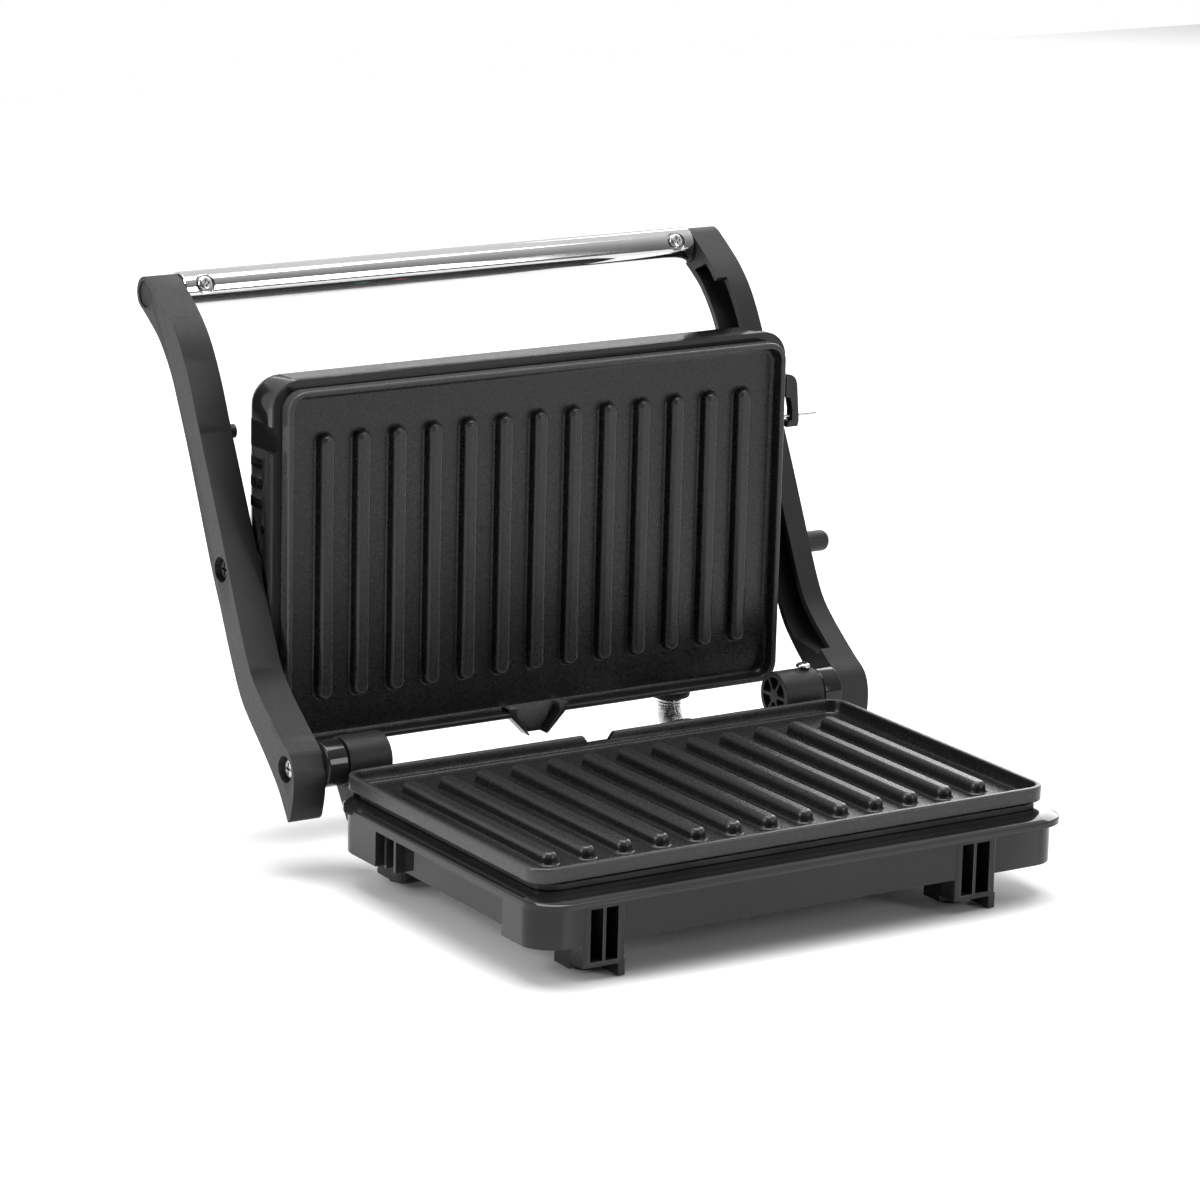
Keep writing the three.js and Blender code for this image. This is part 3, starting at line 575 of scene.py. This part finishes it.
def rib(x):
    """A raised rib with a rounded crest, rounded ends and a fillet at its foot."""
    floor = -PLATE["floor"]
    half = PLATE["rib_half"]
    reach = PLATE["rib_length"] / 2 - half
    # Each step is how far the outline grows and its height below the rim.
    steps = [
        (0.9, floor - 0.2), (0.9, floor + 0.02), (0.4, floor + 0.16), (0.08, floor + 0.5),
        (-0.08, floor + 1.2), (-0.25, floor + 2.5), (-0.5, floor + 3.3), (-0.95, floor + 3.95),
        (-1.55, floor + 4.35), (-2.2, -PLATE["crest"]),
    ]
    loops = []
    for grow, z in steps:
        radius = half + grow
        loop = []
        for end, start in ((1, 0), (-1, 180)):
            for step in range(17):
                angle = math.radians(start + 180 * step / 16)
                loop.append((x + radius * math.cos(angle), end * reach + radius * math.sin(angle), z))
        loops.append(loop)
    return solid(loops)


def ribs():
    middle = (PLATE["ribs"] - 1) / 2
    return [rib((index - middle) * PLATE["pitch"]) for index in range(PLATE["ribs"])]


def drain_notch():
    edge = PLATE["depth"] / 2
    profile = [(-8, 1), (-5, -3.2), (5, -3.2), (8, 1)]
    return solid([[(x, y, z) for x, z in profile] for y in (edge - 7, edge + 3)])


def drain_spout():
    edge = PLATE["depth"] / 2
    outline = [
        (-14, edge - 4), (14, edge - 4), (12.5, edge), (4.6, edge + 8), (-4.6, edge + 8), (-12.5, edge),
    ]
    return slab(outline, -PLATE["wall"], 0)


def drain_channel():
    edge = PLATE["depth"] / 2
    outline = [
        (-10, edge - 4.6), (10, edge - 4.6), (10, edge - 0.5), (3, edge + 9), (-3, edge + 9),
        (-10, edge - 0.5),
    ]
    return slab(outline, -PLATE["floor"] + 0.6, 1)


LOWER_HALF = Matrix.Translation((0, LOWER_PLATE["y"], LOWER_PLATE["rim_z"]))
# The lid's half has its ribs to the front and its hinge side down.
LID_HALF = Matrix(((-1, 0, 0, 0), (0, 0, -1, LID_PLATE["rim_y"]), (0, -1, 0, LID_PLATE["z"]), (0, 0, 0, 1)))


def make_plates():
    lower = together([cut(plate_body(), drain_notch()), *ribs()])
    lower.data.transform(LOWER_HALF)
    piece(lower, "lower_grill_plate", "base", "coated_plate", "lower_plate", 0.4, 50)
    upper = together([cut(joined(plate_body(), drain_spout()), drain_channel()), *ribs()])
    upper.data.transform(LID_HALF)
    piece(upper, "upper_grill_plate", "lid", "coated_plate", "upper_plate", 0.4, 50)


# ---------- base ----------
def foot_tools(left, right):
    """The solids that build a front foot: what is added, what is cut, and what is added last."""
    face = BASE["skirt_front"] - 0.5
    column = [
        slab(rounded(left, right, face, -65.3, 1.2, 4), 2.5, BASE["flange_low"] + 0.1),
        slab(rounded(left, right, face, -58, 1.2, 4), 2.5, 24),
    ]
    slot = box((left + 3, right - 3.3), (face - 1, -67), (7, 27))
    toe = box((left - 1, right - 2.8), (face - 1, -69), (-1, 5))
    wall = box((right - 2.8, right), (face, -66), (0.2, 6))
    divider = box((left + 8.2, left + 9.6), (face, -66.5), (5, 27.1))
    return column, [slot, toe], [wall, divider]


def make_lower_housing():
    wall = BASE["wall"]
    deck = BASE["flange_top"] - wall
    # The flange falls away towards its edge: (inset, height) steps.
    loops = []
    flange_x = BASE["flange_x"]
    for inset, z in ((0, BASE["flange_low"]), (0, 31.4), (0.4, 31.9), (3.5, BASE["flange_top"])):
        front = BASE["flange_front"] + inset * 2
        back = BASE["flange_back"] - inset
        outline = rounded(-flange_x + inset, flange_x - inset, front, back, 13 - inset)
        loops.append([(x, y, z) for x, y in outline])
    shell = joined(
        solid(loops),
        slab(rounded(-BASE["skirt_x"], BASE["skirt_x"], BASE["skirt_front"], BASE["skirt_back"], 12),
             BASE["skirt_low"], BASE["flange_low"] + 0.1),
    )
    face = BASE["skirt_x"] - 6.5
    panels = []
    backing = []
    for _, sign in SIDES:
        outside = sign * (BASE["skirt_x"] + 1)
        panels.append(box((sign * face, outside), (-53, 39), (BASE["skirt_low"] - 1, 27.5)))
        backing.append(box((sign * (face - wall), outside), (-53 - wall, 39 + wall),
                           (BASE["skirt_low"] - 2, deck + 1)))
    inside_x = BASE["skirt_x"] - wall
    hollow = slab(rounded(-inside_x, inside_x, BASE["skirt_front"] + wall, BASE["skirt_back"] - wall, 9.5),
                  BASE["skirt_low"] - 1, deck)
    hollow = cut(hollow, *backing)
    mouth = slab(rounded(-108, 108, -66.5, 64, 9), deck - 1, BASE["flange_top"] + 1)
    shell = cut(shell, *panels, hollow, mouth)
    extras = []
    for _, sign in SIDES:
        for y in (28, 35):
            across = (sign * (face - 0.1), sign * (face + 4))
            extras.append(box(across, (y, y + 1.6), (BASE["skirt_low"], 27.6)))
        post = rounded(sign * 96, sign * 108, BASE["skirt_back"] - wall, 76.3, 1.5, 4)
        extras.append(slab(post, 9, 20))
    shell = joined(shell, *extras)
    shell = cut(shell, bar((-60, 60, 21.5), (-60, 75, 21.5), 5.6), bar((50, 60, 21.5), (50, 75, 21.5), 6.4))
    for left, right in FRONT_FEET:
        column, removed, last = foot_tools(left, right)
        shell = joined(shell, *column)
        shell = cut(shell, *removed)
        shell = joined(shell, *last)
    piece(shell, "lower_housing_shell", "base", "gloss_shell", "lower_housing", 0.55, 40)


def make_barrel(side, sign):
    inner, outer = BARREL
    y, z = HINGE["y"], HINGE["z"]
    radius = HINGE["barrel"]
    length = outer - inner
    drum = turned([(radius - 0.8, 0), (radius - 0.2, 0.25), (radius, 0.8), (radius, length - 0.6),
                   (radius - 0.2, length - 0.15), (radius - 0.6, length)], (sign * inner, y, z), (sign, 0, 0))
    saddle = [(71.3, 20.4), (76, 20.4), (88.5, 38), (80, 43), (71.3, 40)]
    bracket = side_plate(saddle, sign * (inner + 2), sign * (outer - 1))
    cells = side_bar(sign, inner - 1, inner + 3, y, z, 7.6)
    spokes = []
    for angle in (0, 60, 120):
        spoke = box((-10, 10), (-8, 8), (-0.6, 0.6))
        place = Matrix.Translation((sign * inner, y, z)) @ Matrix.Rotation(math.radians(angle), 4, "X")
        spoke.data.transform(place)
        spokes.append(spoke)
    cells = cut(cells, side_bar(sign, inner - 2, inner + 4, y, z, 2.8), *spokes)
    bolt = side_bar(sign, inner + 5, outer + 1, y, z, HINGE["bolt"] + GAP, 32)
    barrel = cut(joined(drum, bracket), cells, bolt)
    name = f"hinge_barrel_{side}"
    piece(barrel, f"{name}_moulding", "base", "matte_body", name, 0.25, 40)


def make_base_details():
    for place, (x, y) in PADS.items():
        profile = [(4.0, 0), (4.4, 0.15), (4.6, 0.5), (4.6, 2.2)]
        name = f"foot_pad_{place}"
        piece(turned(profile, (x, y, 0), (0, 0, 1), 40), f"{name}_rubber", "base", "black_rubber", name, 0)
    for index, (x, y) in enumerate(COVER_SCREWS, 1):
        name = f"cover_screw_{index}"
        item = screw(3.4, 1.6, (x, y, BASE["skirt_low"] - GAP), (0, 0, -1), 1.5, 8)
        piece(item, f"{name}_pan_head", "base", "bright_steel", name, 0.08, 50)
    for side, sign in SIDES:
        make_barrel(side, sign)
    top = HINGE["z"] + HINGE["barrel"] + 0.5 + GAP
    item = screw(3, 1.5, (105.5, HINGE["y"], top), (0, 0, 1), 1.4, 0.5)
    piece(item, "barrel_screw_pan_head", "base", "bright_steel", "barrel_screw", 0.08, 50)
    gland = cut(
        joined(ring((-60, 69.3, 21.5), (-60, 78, 21.5), 6.8, 3.3, 0.8),
               turned([(3.3, 0), (5.2, 0), (5.2, 4.9), (3.3, 4.9)], (-60, 64.5, 21.5), (0, 1, 0), wrap=True)),
        bar((-60, 68, 21.5), (-60, 80, 21.5), 3.3),
    )
    piece(gland, "power_cord_gland_ring", "base", "black_rubber", "power_cord_gland", 0.15, 50)
    grommet = ring((50, 69.3, 21.5), (50, 71.2, 21.5), 7.7, CONDUIT["radius"] + 1.2, 0.6)
    piece(grommet, "conduit_grommet_base_ring", "base", "black_rubber", "conduit_grommet_base", 0)


# ---------- conduit ----------
ROUTE = [
    (50, 69.6, 21.5), (50.8, 76, 24.5), (53.5, 84, 31.5), (58.5, 94, 29.5), (64.5, 108, 24.5),
    (69, 120, 23.8), (71.2, 126.2, 28), (71.5, 127, 36.3),
]
# How far along the conduit each stretch ends, and the two bodies that its ends meet. The last rides whole on
# its body; the others are not put on any body.
STRETCHES = [(0.1, "base", "collars"), (0.34, "collars", "arms"), (0.66, "arms", "lid"), (1.0, "lid", None)]


def conduit_loops():
    """The conduit's wound skin as loops of points, with the middle of each loop."""
    fine = [spline(ROUTE, step / 600) for step in range(601)]
    lengths = [0.0]
    for before, after in zip(fine, fine[1:]):
        lengths.append(lengths[-1] + (after - before).length)
    count = int(lengths[-1] / CONDUIT["pitch"] * CONDUIT["steps_per_turn"])
    loops = []
    middles = []
    across = Vector((1, 0, 0))
    at = 0
    for step in range(count + 1):
        target = lengths[-1] * step / count
        while at < len(lengths) - 2 and lengths[at + 1] < target:
            at += 1
        part = (target - lengths[at]) / (lengths[at + 1] - lengths[at])
        middle = fine[at].lerp(fine[at + 1], part)
        along = (fine[min(at + 3, 600)] - fine[max(at - 2, 0)]).normalized()
        across = (across - along * across.dot(along)).normalized()
        other = along.cross(across)
        loop = []
        for side in range(CONDUIT["sides"]):
            angle = 2 * math.pi * side / CONDUIT["sides"]
            phase = target / CONDUIT["pitch"] + side / CONDUIT["sides"]
            radius = CONDUIT["radius"] - CONDUIT["groove"] * (1 - abs(math.sin(math.pi * phase))) ** 1.6
            loop.append(middle + (across * math.cos(angle) + other * math.sin(angle)) * radius)
        loops.append(loop)
        middles.append(middle)
    return loops, middles


def make_conduit():
    loops, middles = conduit_loops()
    last = len(loops) - 1
    first = 0
    for index, (end, body_a, body_b) in enumerate(STRETCHES, 1):
        stop = round(end * last)
        item = solid(loops[first:stop + 1])
        to_frame(item)
        item.name = f"wire_conduit_stretch_{index}"
        for face in item.data.polygons:
            face.use_smooth = True
        item.data.materials.append(LOOKS["wound_steel"])
        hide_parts("wire_conduit")
        if body_b is None:
            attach(item, body_a)
        else:
            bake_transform(item)
        first = stop


# ---------- arms and handle ----------
FRONT_EDGE = [
    (76.4, 24.2), (74.2, 33), (74, 42), (77, 49.1), (84.7, 54.4), (93, 60.4), (101, 66.5), (109, 74.6),
    (117.3, 89.8), (134, 125.3), (150.8, 159.4), (159.2, 177.2), (167.6, 191), (176, 200), (184.5, 206.4),
    (193.4, 212.2),
]
BACK_EDGE = [
    (201.6, 201.3), (193, 196.2), (184.5, 190), (176, 180), (170, 169.5), (159, 147.8), (142.1, 110.8),
    (133.7, 94.5), (125.3, 77.6), (117, 63.2), (109, 55), (100.6, 47.9), (92.5, 40.6), (86, 34),
    (81.5, 27.8), (78, 22.6),
]


def edge_points(edge, t0, t1, count, inset):
    """Points on an edge of the arm from t0 to t1, moved into the arm by inset."""
    points = []
    for index in range(count + 1):
        t = t0 + (t1 - t0) * index / count
        run = spline(edge, t + 0.001) - spline(edge, t - 0.001)
        inward = Vector((run.y, -run.x)).normalized()
        points.append(tuple(spline(edge, t) + inward * inset))
    return points


def arc(y, z, radius, start, end, count):
    points = []
    for index in range(count + 1):
        angle = math.radians(start + (end - start) * index / count)
        points.append((y + radius * math.cos(angle), z + radius * math.sin(angle)))
    return points


def screw_line():
    tilt = math.radians(HANDLE["screw_tilt"])
    return Vector((0, -math.cos(tilt), math.sin(tilt)))


def handle_screw_path(sign, radius, near, far):
    middle = Vector((sign * HANDLE["screw_x"], HANDLE["y"], HANDLE["z"]))
    return bar(middle + screw_line() * near, middle + screw_line() * far, radius, 40)


def make_arm(side, sign):
    inner, outer, wall, seat = ARM["inner"], ARM["outer"], ARM["wall"], ARM["seat"]
    outline = [
        *edge_points(FRONT_EDGE, 0, 1, 60, 0), *arc(HANDLE["y"], HANDLE["z"], 6.9, 100, -35, 14),
        *edge_points(BACK_EDGE, 0, 1, 60, 0),
    ]
    body = side_plate(outline, sign * inner, sign * outer)
    channel = [*edge_points(FRONT_EDGE, 0.3, 0.9, 40, wall), *edge_points(BACK_EDGE, 0.08, 0.66, 40, wall)]
    shell = cut(body, side_plate(channel, sign * (inner - 1), sign * (outer - wall)))
    extras = [
        side_bar(sign, inner, outer - 1, PIVOT["y"], PIVOT["z"], 6),
        side_bar(sign, 105, inner + 1, HANDLE["y"], HANDLE["z"], HANDLE["bore"] - GAP),
    ]
    if sign < 0:
        extras.append(side_bar(sign, PEG["tip"], outer - 1, PEG["y"], PEG["z"], PEG["radius"]))
    tools = [
        side_bar(sign, inner - 1, outer + 1, PIVOT["y"], PIVOT["z"], PIVOT["pin"] + GAP),
        side_bar(sign, outer - seat, outer + 1, PIVOT["y"], PIVOT["z"], 5),
        side_bar(sign, inner - 1, outer + 1, HINGE["y"], HINGE["z"], HINGE["bolt"] + GAP),
        side_bar(sign, outer - seat, outer + 1, HINGE["y"], HINGE["z"], 5.2),
        side_bar(sign, outer - 0.8, outer + 1, HANDLE["y"], HANDLE["z"], 5.4),
        handle_screw_path(sign, 2, 0, 12),
    ]
    if sign > 0:
        lip = edge_points(FRONT_EDGE, 0.3, 0.84, 40, -1)
        lip += reversed(edge_points(FRONT_EDGE, 0.3, 0.84, 40, 3.4))
        tools.append(side_plate(lip, inner - 1, inner + 4.6))
        stem = RELEASE["stem"] + GAP
        tools.append(side_bar(1, outer - wall - 1, outer + 1, RELEASE["y"], RELEASE["z"], stem))
    arm = cut(joined(shell, *extras), *tools)
    piece(arm, f"arm_{side}_moulding", "arms", "matte_body", f"arm_{side}", 0.7, 38)


def make_handle():
    half = COLLAR[1]
    radius, bore = HANDLE["radius"], HANDLE["bore"]
    length = 2 * half
    profile = [
        (bore, 0), (radius - 0.4, 0), (radius, 0.4), (radius, length - 0.4), (radius - 0.4, length),
        (bore, length),
    ]
    tube = turned(profile, (-half, HANDLE["y"], HANDLE["z"]), (1, 0, 0), 96, wrap=True)
    seat = radius - 1.1
    tools = []
    for _, sign in SIDES:
        tools.append(handle_screw_path(sign, 4.2, seat, 12))
        tools.append(handle_screw_path(sign, 2, 0, 12))
    piece(cut(tube, *tools), "handle_tube_polished", "arms", "chrome_tube", "handle_tube", 0.35, 34)
    for side, sign in SIDES:
        place = Vector((sign * HANDLE["screw_x"], HANDLE["y"], HANDLE["z"])) + screw_line() * (seat + GAP)
        name = f"handle_screw_{side}"
        item = screw(3.1, 1.5, place, screw_line(), 1.6, 5)
        piece(item, f"{name}_pan_head", "arms", "bright_steel", name, 0.08, 50)


def make_hinges():
    y, z = HINGE["y"], HINGE["z"]
    for side, sign in SIDES:
        make_arm(side, sign)
        near, far = (sign * COLLAR[0], y, z), (sign * COLLAR[1], y, z)
        collar = ring(near, far, HINGE["collar"], HINGE["bolt"] + GAP, 0.8)
        name = f"hinge_collar_{side}"
        piece(collar, f"{name}_ring", "collars", "gloss_shell", name, 0)
        seat = sign * (ARM["outer"] - ARM["seat"] + GAP)
        name = f"hinge_bolt_{side}"
        item = screw(4.3, 1.9, (seat, y, z), (sign, 0, 0), HINGE["bolt"], 30)
        piece(item, f"{name}_pan_head", "collars", "bright_steel", name, 0.08, 50)
        name = f"lid_pivot_pin_{side}"
        item = screw(4.2, 1.7, (seat, PIVOT["y"], PIVOT["z"]), (sign, 0, 0), PIVOT["pin"], 18)
        piece(item, f"{name}_head", "arms", "matte_body", name, 0.08, 50)
        name = f"lid_pivot_washer_{side}"
        start = (sign * (LID["side_x"] + GAP), PIVOT["y"], PIVOT["z"])
        end = (sign * (ARM["inner"] - GAP), PIVOT["y"], PIVOT["z"])
        washer = ring(start, end, 6, PIVOT["pin"] + GAP, 0.25)
        piece(washer, f"{name}_ring", "lid", "matte_body", name, 0)
    knob = RELEASE["knob"]
    start = ARM["outer"] + GAP
    length = RELEASE["tip"] - start
    profile = [
        (knob - 0.7, 0), (knob, 0.6), (knob, length - 2.2), (knob - 0.35, length - 1.2),
        (knob - 1.1, length - 0.4), (knob - 2.2, length),
    ]
    head = turned(profile, (start, RELEASE["y"], RELEASE["z"]), (1, 0, 0))
    stem = bar((128.4, RELEASE["y"], RELEASE["z"]), (start + 1, RELEASE["y"], RELEASE["z"]), RELEASE["stem"])
    piece(joined(head, stem), "release_knob_turned", "release", "matte_body", "release_knob", 0.15, 50)


# ---------- lid ----------
def dome(half_x, y0, y1, back, edge, corner):
    """A tub whose closed side, at height back, has rounded edges."""
    top = LID["step"] + 0.2
    loops = []
    for step in range(9):
        angle = math.radians(90 * step / 8)
        inset = edge * (1 - math.sin(angle))
        z = back + edge * (1 - math.cos(angle))
        radius = max(corner - inset, 0.6)
        outline = rounded(-half_x + inset, half_x - inset, y0 + inset, y1 - inset, radius)
        loops.append([(x, y, z) for x, y in outline])
    outline = rounded(-half_x, half_x, y0, y1, corner)
    loops.append([(x, y, top) for x, y in outline])
    return solid(loops)


def make_upper_housing():
    side_x, free, hinge, wall, back = LID["side_x"], LID["free"], LID["hinge"], LID["wall"], LID["back"]
    flange = slab(rounded(-LID["flange_x"], LID["flange_x"], free, hinge, 11), LID["step"], LID["face"])
    shell = joined(flange, dome(side_x, free + 0.8, hinge - 0.5, back, LID["round"], 12))
    hollow = dome(side_x - wall, free + 0.8 + wall, hinge - 0.5 - wall, back + wall,
                  LID["round"] - wall, 12 - wall)
    mouth = slab(rounded(-108.5, 108.5, -66.5, 65, 9), LID["step"] - 1, 0)
    shell = cut(shell, hollow, mouth)
    pivot_y = LID_PLATE["z"] - PIVOT["z"]
    pivot_z = LID_PLATE["rim_y"] - PIVOT["y"]
    latch_y = LID_PLATE["z"] - LATCH["z"]
    latch_z = LID_PLATE["rim_y"] - LATCH["y"]
    low, high = LATCH["pocket"]
    extras = [box((-side_x + 0.5, -side_x + 8), (low + 13, low + 22), (-14, -6.7))]
    tools = []
    for _, sign in SIDES:
        extras.append(side_bar(sign, 108, side_x, pivot_y, pivot_z, 6.2))
        tools.append(side_bar(sign, 110, side_x + 1, pivot_y, pivot_z, PIVOT["pin"] + GAP))
        tools.append(box((sign * (side_x - 1.7), sign * (side_x + 2)), (low, high), (-28, 0)))
    for y in (-40.5, -32.5, -24.5):
        vent = rounded(-28, -15.5, y - 2, y + 2, 1.0, 4)
        tools.append(solid([[(x, across, z) for z, across in vent] for x in (side_x - 2, side_x + 2)]))
    tools.append(bar((side_x - 2, -14.6, -15.5), (side_x + 1, -14.6, -15.5), 2))
    tools.append(side_bar(-1, side_x - 5, side_x + 1, latch_y, latch_z, 0.9, 24))
    for x in LENSES.values():
        tools.append(bar((x, -60, back - 1), (x, -60, back + 1.2), 3.8))
    tools.append(bar((-71.5, 60, -13.6), (-71.5, 80, -13.6), 6.4))
    shell = cut(joined(shell, *extras), *tools)
    shell.data.transform(LID_HALF)
    piece(shell, "upper_housing_shell", "lid", "gloss_shell", "upper_housing", 0.45, 40)


def make_lid_details():
    for colour, x in LENSES.items():
        profile = [(3.5, 1.7), (3.5, 0.4), (3.25, 0.15), (2.6, 0.03), (1.6, 0)]
        item = turned(profile, (x, -60, LID["back"] - 0.8), (0, 0, 1), 40)
        item.data.transform(LID_HALF)
        piece(item, f"{colour}_lens_cap", "lid", f"{colour}_lens", f"{colour}_indicator_lens", 0)
    grommet = ring((71.5, 127, 34.3), (71.5, 127, 37.3), 8.4, CONDUIT["radius"] + 1.4, 0.9)
    piece(grommet, "conduit_grommet_lid_ring", "lid", "black_rubber", "conduit_grommet_lid", 0)
    profile = [(0.45, 0), (0.6, 0.2), (0.6, 21.8), (0.45, 22)]
    pin = turned(profile, (114, LATCH["y"], LATCH["z"]), (1, 0, 0), 24)
    piece(pin, "latch_pin_wire", "lid", "bright_steel", "latch_pin", 0)


def make_latch():
    curve = []
    for step in range(13):
        t = step / 12
        start, middle, end = Vector((125, 160)), Vector((124.6, 165.6)), Vector((120.2, 165.8))
        curve.append(tuple(start.lerp(middle, t).lerp(middle.lerp(end, t), t)))
    outline = [
        (120.2, 143.8), (125.6, 143.8), (126.2, 146), *curve, (119.4, 165.8), (119.4, 156.4), (121.6, 156),
        (122.8, 151), (122.8, 146.6), (121.2, 146.2),
    ]
    hook = solid([[(x, y, z) for x, z in outline] for y in (119.4, 123.6)])
    eye = bar((118, LATCH["y"], LATCH["z"]), (130, LATCH["y"], LATCH["z"]), 0.9, 24)
    piece(cut(hook, eye), "latch_hook_moulding", "latch", "gloss_shell", "latch_hook", 0.4, 30)


# ---------- carried-over nodes ----------
def dress_nodes():
    """The plain inner parts and the bottom cover keep their solids and get their looks and soft edges."""
    slots = {entry["node"]: entry["material_slot"] for entry in frame["record"]["subparts"]}
    for name, item in frame["nodes"].items():
        if item.hide_render:
            continue
        item.data.materials.clear()
        item.data.materials.append(LOOKS[slots[name]])
        bevel = item.modifiers.new("rounded_edges", "BEVEL")
        bevel.width = 0.3 * MM
        bevel.segments = 2
        bevel.limit_method = "ANGLE"
        bevel.angle_limit = math.radians(45)


# ---------- surroundings ----------
def make_floor():
    reach = 1.8
    mesh = bpy.data.meshes.new("floor")
    corners = [(-reach, -reach, 0), (reach, -reach, 0), (reach, reach, 0), (-reach, reach, 0)]
    mesh.from_pydata(corners, [], [(0, 1, 2, 3)])
    floor = bpy.data.objects.new("floor", mesh)
    look = new_material("pale_floor", (0.86, 0.86, 0.86), 0.75, specular=0.2)
    mesh.materials.append(look)
    bpy.context.scene.collection.objects.link(floor)
    floor.location.z = -0.0002


def make_light(name, place, target, size, power):
    data = bpy.data.lights.new(name, "AREA")
    data.shape = "RECTANGLE"
    data.size, data.size_y = size
    data.energy = power
    light = bpy.data.objects.new(name, data)
    aim = (Vector(target) - Vector(place)).to_track_quat("-Z", "Y")
    light.matrix_world = Matrix.Translation(place) @ aim.to_matrix().to_4x4()
    bpy.context.scene.collection.objects.link(light)


def make_lights():
    middle = (0, 0, 0.1)
    make_light("overhead", (0.1, 0.1, 1.9), middle, (1.6, 1.2), 44)
    make_light("left", (-1.9, 0.1, 1.0), middle, (0.5, 1.3), 24)
    make_light("front", (1.1, -2.1, 0.8), middle, (0.5, 1.0), 12)
    make_light("right_back", (1.6, 1.3, 1.0), middle, (0.8, 1.2), 16)
    # The room is pale behind the press and dim in front of it, so that the dark skins keep their depth.
    world = bpy.data.worlds.new("soft_room")
    world.use_nodes = True
    nodes = world.node_tree.nodes
    links = world.node_tree.links
    place = nodes.new("ShaderNodeTexCoord")
    lean = nodes.new("ShaderNodeVectorMath")
    lean.operation = "DOT_PRODUCT"
    lean.inputs[1].default_value = (0.54, 0.84, 0.1)
    shade = nodes.new("ShaderNodeMapRange")
    shade.inputs["From Min"].default_value = -0.5
    shade.inputs["From Max"].default_value = 0.4
    shade.inputs["To Min"].default_value = 0.1
    shade.inputs["To Max"].default_value = 1.0
    links.new(place.outputs["Generated"], lean.inputs[0])
    links.new(lean.outputs["Value"], shade.inputs["Value"])
    links.new(shade.outputs["Result"], nodes["Background"].inputs["Strength"])
    nodes["Background"].inputs["Color"].default_value = (1, 1, 1, 1)
    bpy.context.scene.world = world
    bpy.context.scene.view_settings.view_transform = "Standard"


make_plates()
make_lower_housing()
make_base_details()
make_conduit()
make_hinges()
make_handle()
make_upper_housing()
make_lid_details()
make_latch()
dress_nodes()
make_floor()
make_lights()
